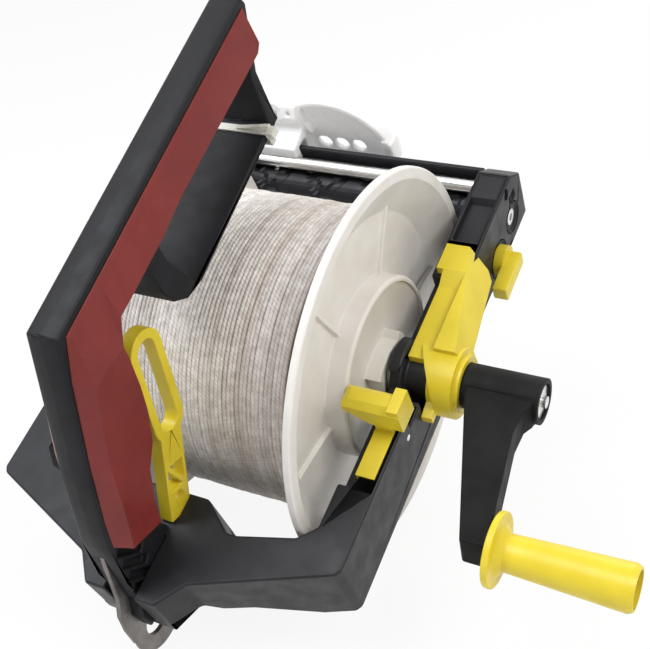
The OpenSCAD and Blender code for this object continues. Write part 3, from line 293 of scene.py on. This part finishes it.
moulded("black_plastic", dark=(0.0125, 0.0125, 0.0145), light=(0.0165, 0.0165, 0.020),
        dull=0.43, grain=2400, relief=0.35, shine=0.27)
moulded("red_plastic", dark=(0.150, 0.017, 0.014), light=(0.19, 0.023, 0.019),
        dull=0.36, grain=2600, relief=0.2, shine=0.32)
moulded("yellow_plastic", dark=(0.64, 0.50, 0.022), light=(0.73, 0.58, 0.034),
        dull=0.36, grain=2600, relief=0.12, shine=0.4)
moulded("cream_plastic", dark=(0.67, 0.64, 0.60), light=(0.75, 0.73, 0.70),
        dull=0.45, grain=2200, relief=0.2, shine=0.4)
moulded("white_plastic", dark=(0.86, 0.86, 0.86), light=(0.92, 0.92, 0.92),
        dull=0.33, grain=2600, relief=0.1, glow=0.7)
moulded("natural_plastic", dark=(0.66, 0.60, 0.45), light=(0.72, 0.67, 0.52),
        dull=0.4, grain=2200, relief=0.1)
moulded("belt_rubber", dark=(0.012, 0.012, 0.012), light=(0.03, 0.03, 0.03),
        dull=0.7, grain=1500, relief=0.4, shine=0.2)
moulded("nylon", dark=(0.74, 0.73, 0.66), light=(0.82, 0.81, 0.75),
        dull=0.3, grain=1800, relief=0.1, clear=0.2)
moulded("handle_black", dark=(0.0105, 0.0105, 0.012), light=(0.0135, 0.0135, 0.016),
        dull=0.45, grain=2400, relief=0.35, shine=0.16)
moulded("crank_black", dark=(0.010, 0.010, 0.010), light=(0.017, 0.017, 0.017),
        dull=0.5, grain=2400, relief=0.35, shine=0.06)
# The line's lower layers, seen only in the gaps between turns, are painted dark brown as painted shade
moulded("shaded_under_line", dark=(0.26, 0.23, 0.20), light=(0.42, 0.38, 0.34),
        dull=0.8, grain=900, relief=0.5)
print("plastics:", ", ".join(FINISH))

# %% [markdown]
# ## Metals
# Drawn steel carries long fine scratches along its length, so its noise is stretched along one axis. The
# hanging hook is a dull stamped plate: its scratches run every way and its colour is patchy.

# %% Steel and bronze
PATCHES = {"scale": 45, "detail": 4}
SCRATCH_DETAIL = 4
SCRATCH_SPAN = (-0.08, 0.12)
SCRATCH_DEPTH = 0.00002


def metal(name, dark, light, dull, stretch, fineness, relief):
    """A metal finish, whose scratches drive both its roughness and its relief."""
    material, tree, out = new_material(name)
    skin = tree.nodes.new("ShaderNodeBsdfPrincipled")
    skin.inputs["Metallic"].default_value = 1.0
    tree.links.new(skin.outputs[0], out.inputs["Surface"])
    tree.links.new(shades(tree, noise(tree, **PATCHES), dark, light), skin.inputs["Base Color"])
    scratch = noise(tree, fineness, SCRATCH_DETAIL, stretch)
    gloss = spread(tree, scratch, dull + SCRATCH_SPAN[0], dull + SCRATCH_SPAN[1])
    tree.links.new(gloss, skin.inputs["Roughness"])
    tree.links.new(bump(tree, scratch, relief, SCRATCH_DEPTH), skin.inputs["Normal"])
    FINISH[name] = material


metal("bright_steel", dark=(0.70, 0.70, 0.69), light=(0.84, 0.84, 0.83),
      dull=0.24, stretch=(0.15, 6, 6), fineness=300, relief=0.12)
metal("hook_steel", dark=(0.16, 0.145, 0.14), light=(0.27, 0.25, 0.24),
      dull=0.5, stretch=(3, 2, 1), fineness=220, relief=0.3)
metal("bronze", dark=(0.42, 0.28, 0.12), light=(0.55, 0.38, 0.18),
      dull=0.38, stretch=(6, 1, 1), fineness=300, relief=0.12)
print("finishes now:", len(FINISH))

# %% [markdown]
# ## Copies that stand for their nodes
# The CAD meshes stay as they are. Each piece with a shape of its own is a copy, or a new mesh, that rides
# the same body, takes a finish and then stands for its node, which is hidden. Cuts are made with prisms: an
# outline drawn out straight.

# %% Copies and cuts
SLOT = {part["node"]: part["material_slot"] for part in frame["record"]["subparts"]}
BODY = {node: body for body, members in frame["record"]["behaviour"]["bodies"].items() for node in members}


def copy_of(node, name):
    """A free copy of a node's solid, which can be changed and then stands for the node."""
    piece = nodes[node].copy()
    piece.data = nodes[node].data.copy()
    piece.name = piece.data.name = name
    piece.parent = None
    for key in list(piece.keys()):
        del piece[key]
    bpy.context.scene.collection.objects.link(piece)
    piece.data.materials.clear()
    return piece


def stands_for(piece, node, finish=None):
    piece.data.materials.append(FINISH[finish or SLOT[node]])
    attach(piece, BODY[node])
    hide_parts(node)


def carve(piece, *cutters):
    """Takes the cutters out of the piece and leaves a plain mesh."""
    for cutter in cutters:
        cut = piece.modifiers.new("cut", "BOOLEAN")
        cut.operation = "DIFFERENCE"
        cut.solver = "MANIFOLD"
        cut.object = cutter
    shape = piece.evaluated_get(bpy.context.evaluated_depsgraph_get())
    mesh = bpy.data.meshes.new_from_object(shape)
    piece.modifiers.clear()
    piece.data = mesh
    for cutter in cutters:
        bpy.data.objects.remove(cutter)


def drawn_out(near, far):
    """The points and faces of a solid between two outlines."""
    count = len(near)
    faces = [tuple(range(count)), tuple(reversed(range(count, 2 * count)))]
    faces += [(k, count + k, count + (k + 1) % count, (k + 1) % count) for k in range(count)]
    return near + far, faces


def prism(name, low, high, outline):
    """A solid between two places across the reel, with an outline of (back, up) points in millimetres."""
    near = [on_reel(low, y, z) for y, z in outline]
    far = [on_reel(high, y, z) for y, z in outline]
    points, faces = drawn_out(near, far)
    mesh = bpy.data.meshes.new(name)
    mesh.from_pydata(points, [], faces)
    work = bmesh.new()
    work.from_mesh(mesh)
    bmesh.ops.recalc_face_normals(work, faces=work.faces)
    work.to_mesh(mesh)
    work.free()
    solid = bpy.data.objects.new(name, mesh)
    bpy.context.scene.collection.objects.link(solid)
    return solid


print("slots in use:", len(set(SLOT.values())))

# %% [markdown]
# ## Rounded edges
# A mould always leaves a small radius on an edge, and it is the thin highlight there that makes a solid
# look real. CAD meshes come in triangles, which leave a bevel no room. So the triangles of each flat area
# without a hole are joined again first, and then every long sharp edge gets a bevel weight.

# %% Flat areas
FLAT = math.radians(0.3)


def flat_areas(work):
    """Lists of neighbouring faces that lie in one plane."""
    seen = set()
    areas = []
    for first in work.faces:
        if first in seen:
            continue
        seen.add(first)
        area = []
        waiting = [first]
        while waiting:
            face = waiting.pop()
            area.append(face)
            for edge in face.edges:
                if len(edge.link_faces) == 2 and edge.calc_face_angle(0.0) < FLAT:
                    fresh = [other for other in edge.link_faces if other not in seen]
                    seen.update(fresh)
                    waiting.extend(fresh)
        if len(area) > 1:
            areas.append(area)
    return areas


def is_one_loop(border):
    """Whether edges close into a single loop, so that the area inside has no hole."""
    ways = {}
    for edge in border:
        for vert in edge.verts:
            ways.setdefault(vert, []).append(edge)
    if any(len(edges) != 2 for edges in ways.values()):
        return False
    edge = border[0]
    first, vert = edge.verts
    steps = 1
    while vert != first:
        edge = next(other for other in ways[vert] if other != edge)
        vert = edge.other_vert(vert)
        steps += 1
    return steps == len(border)


def join_flats(work):
    for area in flat_areas(work):
        inside = set(area)
        edges = [edge for face in area for edge in face.edges]
        border = [edge for edge in edges if sum(face in inside for face in edge.link_faces) == 1]
        if is_one_loop(border):
            bmesh.ops.dissolve_faces(work, faces=area, use_verts=False)


print("flat areas are faces within", round(math.degrees(FLAT), 1), "degrees")

# %% Mouldings with rounded edges
SHARP = math.radians(28)
WELD = 2e-6
SEAM_NEAR = 0.05 * MM
EDGE_ROOM = 0.5
EDGE_SEGMENTS = 3


def turn_at(edge):
    """The angle between the two faces at an edge, or 0 where there aren't two."""
    return edge.calc_face_angle(0.0) if len(edge.link_faces) == 2 else 0.0


def wants_radius(edge, piece, radius):
    """Whether an edge is sharp and long, off the handle's seam, and has room beside it for its radius."""
    if turn_at(edge) <= SHARP:
        return False
    ends = [piece.matrix_world @ vert.co for vert in edge.verts]
    on_seam = all(abs(end.x - SEAM_X) < SEAM_NEAR for end in ends)
    room = min(face.calc_area() for face in edge.link_faces)
    return not on_seam and edge.calc_length() > radius and room > EDGE_ROOM * radius ** 2


def rounded(node, radius, finish=None, cutters=(), crisp=SHARP):
    """A node's solid with rounded edges. Edges that turn more than crisp are shaded as creases."""
    piece = copy_of(node, node + "_moulding")
    if cutters:
        carve(piece, *cutters)
    work = bmesh.new()
    work.from_mesh(piece.data)
    bmesh.ops.remove_doubles(work, verts=work.verts, dist=WELD)
    join_flats(work)
    weight = work.edges.layers.float.new("bevel_weight_edge")
    count = 0
    for edge in work.edges:
        edge.smooth = turn_at(edge) <= crisp
        if wants_radius(edge, piece, radius):
            edge[weight] = 1.0
            count += 1
    for face in work.faces:
        face.smooth = True
    work.to_mesh(piece.data)
    work.free()
    bevel = piece.modifiers.new("edge_radius", "BEVEL")
    bevel.limit_method = "WEIGHT"
    bevel.width = radius
    bevel.segments = EDGE_SEGMENTS
    bevel.use_clamp_overlap = False
    bevel.harden_normals = True
    stands_for(piece, node, finish)
    print(node, "edges rounded:", count)


# Edge radii in millimetres
EDGE_MM = {
    "frame": 1.6, "front_channel": 0.8, "crank_arm": 1.4, "crank_grip": 1.0, "selector_lever": 0.25,
    "wing_knob": 1.0, "drum_lock": 0.25, "hook_handle": 0.8, "belt_cover": 0.8,
    "flange_right": 0.6, "flange_left": 0.6, "hub_cap": 0.6,
}
CRISP = math.radians(9)
CRISP_NODES = ("selector_lever", "drum_lock", "frame")
for node, radius in EDGE_MM.items():
    finish = "crank_black" if node == "crank_arm" else None
    rounded(node, radius * MM, finish, crisp=CRISP if node in CRISP_NODES else SHARP)

# %% [markdown]
# ## Floor of the arm's pocket
# The right arm is moulded hollow. Its open pocket has a stepped floor close under the rim, so no works
# show there.

# %% Pocket floor
POCKET_NEAR = 99.4
POCKET_FAR = 116.6
POCKET_OUTLINE = [(92.9, -5), (149.1, -5), (149.1, 17.4), (130, 17.4), (127, 13), (92.9, 13)]
pocket_floor = prism("arm_pocket_floor", POCKET_NEAR, POCKET_FAR, POCKET_OUTLINE)
pocket_floor.data.materials.append(FINISH["black_plastic"])
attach(pocket_floor, BODY["frame"])
print(pocket_floor.name, "faces:", len(pocket_floor.data.polygons))

# %% [markdown]
# ## The line guide
# The guide that lays the line is one soft-edged white moulding. A copy of its solid is joined with a
# wider rim along the arc, a side tab, a flared rib and a round cap. A voxel remesh then melts them into
# one skin, and a smooth pass rounds it.

# %% Line guide forms
FIN_MID = (-27, -6)
FIN_R = 48.5
FIN_FRONT = 177.75
FIN_T = 4
RIM_TURN = (14, 113)
RIM_STEPS = 24
RIM_DEEP = 5
RIM_PROUD = (3.5, 3)


def arc_points(radius, first, last):
    """Points (across, up) along the fin's arc, from one angle to another."""
    turns = [math.radians(first + (last - first) * n / RIM_STEPS) for n in range(RIM_STEPS + 1)]
    return [(FIN_MID[0] + radius * math.cos(t), FIN_MID[1] + radius * math.sin(t)) for t in turns]


RIM = arc_points(FIN_R, *RIM_TURN) + arc_points(FIN_R - RIM_DEEP, *reversed(RIM_TURN))
TAB = [(14, -12), (21.5, -12), (21.5, 6), (18.5, 11), (14, 11)]
RIB = [(-50, 12), (-40, 12), (-44, 22), (-45.5, 34), (-46, 41), (-50, 41)]
CAP = [(-79, 36), (-60, 36), (-58, 40), (-61, 44), (-78, 44), (-81, 40)]
# Each form runs from one place along the reel to another, with an outline of (across, up) points
GUIDE_FORMS = [
    (FIN_FRONT - RIM_PROUD[0], FIN_FRONT + FIN_T + RIM_PROUD[1], RIM),
    (173, 186, TAB),
    (172, 186, RIB),
    (168, 185, CAP),
]
print("guide forms:", len(GUIDE_FORMS))

# %% Line guide skin
GUIDE_VOXEL = 0.7 * MM
SOFTEN = 0.5
SOFTEN_PASSES = 5


def soft_guide(node):
    piece = copy_of(node, node + "_moulding")
    work = bmesh.new()
    work.from_mesh(piece.data)
    for first, last, outline in GUIDE_FORMS:
        near = [on_reel(x, first, z) for x, z in outline]
        far = [on_reel(x, last, z) for x, z in outline]
        points, faces = drawn_out(near, far)
        verts = [work.verts.new(point) for point in points]
        made = [work.faces.new([verts[k] for k in face]) for face in faces]
        work.normal_update()
        bmesh.ops.recalc_face_normals(work, faces=made)
    work.to_mesh(piece.data)
    work.free()
    skin = piece.modifiers.new("one_skin", "REMESH")
    skin.mode = "VOXEL"
    skin.voxel_size = GUIDE_VOXEL
    skin.use_smooth_shade = True
    soft = piece.modifiers.new("soft_edges", "SMOOTH")
    soft.factor = SOFTEN
    soft.iterations = SOFTEN_PASSES
    stands_for(piece, node)
    return piece


guide = soft_guide("line_guide")
print(guide.name, "on body", BODY["line_guide"])

# %% [markdown]
# ## The carrying handle
# The two handle halves meet in the middle of the band. A hand's grip needs a soft knee, so the sharp
# corner of the band is first cut away along an arc. A slit for the hanging hook is cut too, and the edges
# are rounded afterwards.

# %% Handle halves and hook
KNEE = (-126, 182)
KNEE_ARMS = ((0.995, 0.1), (-0.436, -0.9))
KNEE_REACH = 9
KNEE_OUTSIDE = 12
KNEE_STEPS = 8
KNEE_CUT_HALF = 30
SLIT_HALF = 2.2
HOOK_CUT_HALF = 5
HANDLE_EDGE = 1.2 * MM
HOOK_EDGE = 0.5 * MM
HOOK_SLIT = [(-181, 57), (-176.5, 56), (-183.3, 14), (-192, 14), (-192, 57)]
PAST_BAND = [(-166, 62), (-174, 20), (-187, 14.5), (-220, 14.5), (-220, 75), (-166, 75)]


def knee_corner():
    """The sliver between the band's sharp corner and an arc that touches both lengths of the band."""
    first, last = [tuple(KNEE[k] + KNEE_REACH * arm[k] for k in range(2)) for arm in KNEE_ARMS]
    arc = []
    for n in range(KNEE_STEPS + 1):
        t = n / KNEE_STEPS
        y, z = [a * (1 - t) ** 2 + 2 * b * t * (1 - t) + c * t * t for a, b, c in zip(first, KNEE, last)]
        arc.append((y, z))
    outside = tuple(KNEE[k] - KNEE_OUTSIDE * (KNEE_ARMS[0][k] + KNEE_ARMS[1][k]) for k in range(2))
    return arc + [outside]


for node in ("handle_right", "handle_left"):
    knee_cut = prism("knee_cut", -KNEE_CUT_HALF, KNEE_CUT_HALF, knee_corner())
    slit_cut = prism("hook_slit", -SLIT_HALF, SLIT_HALF, HOOK_SLIT)
    rounded(node, HANDLE_EDGE, "handle_black", [knee_cut, slit_cut])
hook_cut = prism("past_band", -HOOK_CUT_HALF, HOOK_CUT_HALF, PAST_BAND)
rounded("hanging_hook", HOOK_EDGE, cutters=[hook_cut])

# %% [markdown]
# ## The red side panels
# Each panel is a stack of flat facets that meet in crisp creases: a slanted face along the grip, a bulge
# by the hand, a facet over the knee and a wide plain face down the spine. The corners are named points on
# the reel, and the facets are lists of those names, so a crease moves when its corner does.

# %% Corners and facets of a panel
PANEL_BASE = 10.0
# Out from the middle seam, back from the axle and up from it, in millimetres
PANEL_CORNERS = {
    "tip": (10.6, 90, 199.5), "knee": (10.6, -121.5, 178.8),
    "tip_rim": (12, 88.5, 196.5), "knee_rim": (11.6, -119.5, 175.5),
    "front_up": (16.2, 86, 179), "front_low": (16.2, 81.6, 175),
    "bulge_top": (16.2, -21, 167), "crease_up": (12.8, -33.5, 180.8),
    "bulge_low": (18.5, -46.4, 165.3), "hand_mid": (18.5, -79.4, 162.4),
    "hand_low": (18.5, -94.6, 161.5), "crease_low": (12, -90.5, 176.2),
    "face_up": (18.5, -130.5, 150.5),
    "inner_1": (18.5, -103.6, 147.7), "inner_2": (18.5, -105, 138),
    "inner_3": (18.5, -109, 120), "inner_4": (18.5, -114, 104),
    "inner_5": (18.5, -123, 86), "inner_6": (18.5, -135, 75.5),
    "inner_7": (18.5, -143.5, 58), "inner_8": (18.5, -150, 41),
    "foot": (18.5, -172.3, 52.8),
    "face_low": (18.5, -163.3, 74.6), "face_mid": (18.5, -152.9, 105.7),
    "spine_1": (10.6, -134.8, 156.8), "spine_2": (10.6, -156.2, 112),
    "spine_3": (10.6, -171.2, 76.6), "spine_4": (10.6, -177, 58.6),
}
PANEL_FACETS = [
    "tip tip_rim knee_rim knee",
    "tip_rim front_up front_low bulge_top crease_up",
    "tip_rim crease_up crease_low knee_rim",
    "crease_up bulge_top bulge_low",
    "crease_up bulge_low hand_mid crease_low",
    "crease_low hand_mid hand_low",
    "crease_low hand_low inner_1",
    "knee_rim crease_low inner_1 face_up",
    "knee knee_rim face_up spine_1",
    "spine_1 face_up face_mid spine_2",
    "spine_2 face_mid face_low spine_3",
    "spine_3 face_low foot spine_4",
    "face_up inner_1 inner_2 inner_3 inner_4 inner_5 inner_6 inner_7 inner_8 foot face_low face_mid",
]
PANEL_RIM = (
    "tip knee spine_1 spine_2 spine_3 spine_4 foot inner_8 inner_7 inner_6 inner_5 inner_4 inner_3 inner_2 "
    "inner_1 hand_low hand_mid bulge_low bulge_top front_low front_up tip_rim"
).split()
print("panel corners:", len(PANEL_CORNERS), "facets:", len(PANEL_FACETS))

# %% Faceted panels
CREASE_TURN = math.radians(8)
CREASE_RADIUS = 0.45 * MM
CREASE_SEGMENTS = 2


def side_panel(node, side):
    """A panel of facets, with a wall from their rim to a flat base, on the right (1) or the left (-1)."""
    work = bmesh.new()
    corner = {}
    base = {}
    for name, (x, y, z) in PANEL_CORNERS.items():
        corner[name] = work.verts.new(on_reel(side * x, y, z))
    for name in PANEL_RIM:
        base[name] = work.verts.new(on_reel(side * PANEL_BASE, *PANEL_CORNERS[name][1:]))
    for names in PANEL_FACETS:
        work.faces.new([corner[name] for name in names.split()])
    for name, following in zip(PANEL_RIM, PANEL_RIM[1:] + PANEL_RIM[:1]):
        work.faces.new([corner[name], corner[following], base[following], base[name]])
    work.faces.new([base[name] for name in PANEL_RIM])
    work.normal_update()
    bmesh.ops.triangulate(work, faces=[face for face in work.faces if len(face.verts) > 4])
    bmesh.ops.recalc_face_normals(work, faces=work.faces)
    mesh = bpy.data.meshes.new(node + "_moulding")
    work.to_mesh(mesh)
    work.free()
    piece = bpy.data.objects.new(node + "_moulding", mesh)
    bpy.context.scene.collection.objects.link(piece)
    bevel = piece.modifiers.new("crease_radius", "BEVEL")
    bevel.limit_method = "ANGLE"
    bevel.angle_limit = CREASE_TURN
    bevel.width = CREASE_RADIUS
    bevel.segments = CREASE_SEGMENTS
    bevel.harden_normals = True
    stands_for(piece, node)
    return piece


for node, side in (("panel_right", 1), ("panel_left", -1)):
    panel = side_panel(node, side)
    print(panel.name, "faces:", len(panel.data.polygons))

# %% [markdown]
# ## The other solids
# Pieces whose CAD shape is already right keep it and only get their finish. The cord gets its own further
# down, and the handle's screws keep the plain finish that they come with.

# %% Finishes of the remaining nodes
WITH_OWN_SHAPE = [*EDGE_MM, "line_guide", "hanging_hook"]
OWN_STARTS = ("cord_", "panel_", "handle_")
plain_nodes = [node for node in nodes if node not in WITH_OWN_SHAPE and not node.startswith(OWN_STARTS)]
for node in plain_nodes:
    nodes[node].data.materials.clear()
    nodes[node].data.materials.append(FINISH[SLOT[node]])
print("finished as they are:", len(plain_nodes))

# %% [markdown]
# ## The line on the drum
# Fence line is a twisted cord of plastic yarns with fine wires. Its turns lie side by side on the drum,
# each a little off the next. One long round tube follows them. A UV map says how far along and how far
# round the tube each point lies, and a sine of the two draws the twist of the yarns in relief, with painted shade
# in the grooves between them.

# %% Line material
YARNS_PER_TURN = 236.38
YARNS_ROUND = 2
# How dark the painted shade in the grooves between the yarns is
GROOVE_SHADE = 0.86
GROOVE_STRENGTH = 0.3
GROOVE_DEPTH = 0.0004
DUST = {"scale": 220, "detail": 5}
DUST_DARK = (0.72, 0.70, 0.68)
FUZZ = {"scale": 500, "detail": 3}
LINE_DULL = (0.62, 0.85)
SINE_SPAN = (-1.0, 1.0)


def darkened(tree, colour, shade):
    """A colour multiplied by a shade."""
    mix = tree.nodes.new("ShaderNodeMix")
    mix.data_type = "RGBA"
    mix.blend_type = "MULTIPLY"
    mix.inputs["Factor"].default_value = 1.0
    tree.links.new(colour, mix.inputs["A"])
    tree.links.new(shade, mix.inputs["B"])
    return mix.outputs["Result"]


line_skin, tree, out = new_material("twisted_line")
yarn = tree.nodes.new("ShaderNodeBsdfPrincipled")
tree.links.new(yarn.outputs[0], out.inputs["Surface"])
yarn_tone = tree.nodes.new("ShaderNodeVertexColor")
yarn_tone.layer_name = "yarn_tone"
line_map = tree.nodes.new("ShaderNodeUVMap")
line_map.uv_map = "along_line"
line_place = tree.nodes.new("ShaderNodeSeparateXYZ")
tree.links.new(line_map.outputs["UV"], line_place.inputs[0])
lay = reckon(tree, "MULTIPLY", line_place.outputs["X"], 2 * math.pi * YARNS_PER_TURN)
twist = reckon(tree, "MULTIPLY_ADD", line_place.outputs["Y"], 2 * math.pi * YARNS_ROUND, lay)
swell = reckon(tree, "SINE", twist)
dust = shades(tree, noise(tree, **DUST), DUST_DARK, (1.0, 1.0, 1.0))
dusty = darkened(tree, yarn_tone.outputs["Color"], dust)
# Painted shade: the base colour is darkened in the grooves between the yarns
groove_shaded = darkened(tree, dusty, spread(tree, swell, GROOVE_SHADE, 1.0, SINE_SPAN))
tree.links.new(groove_shaded, yarn.inputs["Base Color"])
tree.links.new(spread(tree, noise(tree, **FUZZ), *LINE_DULL), yarn.inputs["Roughness"])
tree.links.new(bump(tree, swell, GROOVE_STRENGTH, GROOVE_DEPTH), yarn.inputs["Normal"])
print("line material:", line_skin.name)

# %% The path of the wound turns
TURNS = 50
RINGS = 150
SIDES = 8
PRESSED = 1.03
LINE_SEED = 7
DRIFT = 0.32
DRIFT_REACH = 0.8
SINK = 0.5
WORN = 0.55
# The turns get darker and browner across the drum, from the first turn to the last
DARKER_ACROSS = 0.35
WAVE = 0.12
WAVES = 3
WAVE_STEP = 2.1
PALE_YARN = (0.98, 0.96, 0.94)
DARK_YARN = (0.60, 0.52, 0.46)
wind_low, wind_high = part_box("cord_winding")
LINE_R = (wind_high.x - wind_low.x) / TURNS / 2 * PRESSED
WOUND_R = (wind_high.z - wind_low.z) / 2 - LINE_R


def per_turn(rng, low, high):
    """A random value for each turn, and for the ends."""
    return [rng.uniform(low, high) for _ in range(TURNS + 2)]


def between(values, k, ease):
    return values[k] * (1 - ease) + values[k + 1] * ease


def line_rings():
    """For each ring of the tube: its place across the drum, its angle, its radius and its colour."""
    rng = random.Random(LINE_SEED)
    drift = per_turn(rng, -DRIFT, DRIFT)
    sink = per_turn(rng, 0.0, SINK)
    worn = per_turn(rng, 0.0, WORN)
    start = wind_low.x + LINE_R
    pitch = (wind_high.x - wind_low.x - 2 * LINE_R) / TURNS
    for i in range(TURNS * RINGS + 1):
        turn = i / RINGS
        k = int(turn)
        part = turn - k
        angle = 2 * math.pi * part
        ease = part * part * (3 - 2 * part)
        off = between(drift, k, ease) + WAVE * math.sin(WAVES * angle + WAVE_STEP * k)
        # Each turn is paler or darker at random, and darker and browner the further across the drum it lies
        darkening = between(worn, k, ease) + DARKER_ACROSS * turn / TURNS
        x = min(max(start + turn * pitch + off * LINE_R * DRIFT_REACH, start), wind_high.x - LINE_R)
        radius = WOUND_R - between(sink, k, ease) * LINE_R
        colour = [pale_tone * (1 - darkening) + deep_tone * darkening for pale_tone, deep_tone in zip(PALE_YARN, DARK_YARN)] + [1.0]
        yield x, angle, radius, colour


print("line", round(2 * LINE_R / MM, 2), "mm thick, wound", round(WOUND_R / MM, 1), "mm from the axle")

# %% The wound line
def wound_line():
    """One tube of eight sides along the whole path, with its map and its colours."""
    points = []
    colours = []
    for x, angle, radius, colour in line_rings():
        for n in range(SIDES):
            turn = 2 * math.pi * n / SIDES
            far = radius + LINE_R * math.sin(turn)
            across = x + LINE_R * math.cos(turn)
            points.append((across, AXLE.y + far * math.cos(angle), AXLE.z + far * math.sin(angle)))
            colours.extend(colour)
    total = TURNS * RINGS
    steps = [(i * SIDES, n, (n + 1) % SIDES) for i in range(total) for n in range(SIDES)]
    faces = [(at + n, at + m, at + SIDES + m, at + SIDES + n) for at, n, m in steps]
    faces.append(tuple(range(SIDES)))
    faces.append(tuple(total * SIDES + n for n in reversed(range(SIDES))))
    mesh = bpy.data.meshes.new("wound_line")
    mesh.from_pydata(points, [], faces)
    mesh.shade_smooth()
    corners = [(i / RINGS, n / SIDES) for i in range(total) for n in range(SIDES)]
    stride = ((0, 0), (0, 1 / SIDES), (1 / RINGS, 1 / SIDES), (1 / RINGS, 0))
    spots = [value for u, v in corners for du, dv in stride for value in (u + du, v + dv)]
    both_ends = [0.0] * (2 * 2 * SIDES)
    mesh.uv_layers.new(name="along_line").data.foreach_set("uv", spots + both_ends)
    mesh.color_attributes.new("yarn_tone", "FLOAT_COLOR", "POINT").data.foreach_set("color", colours)
    mesh.materials.append(line_skin)
    piece = bpy.data.objects.new("wound_line", mesh)
    bpy.context.scene.collection.objects.link(piece)
    return piece


line = wound_line()
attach(line, "drum")
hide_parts("cord_winding")
# The core under the wound turns carries the painted shade of the gaps between them
nodes["cord_core"].data.materials.clear()
nodes["cord_core"].data.materials.append(FINISH["shaded_under_line"])
print("line of", TURNS, "turns,", len(line.data.polygons), "faces")
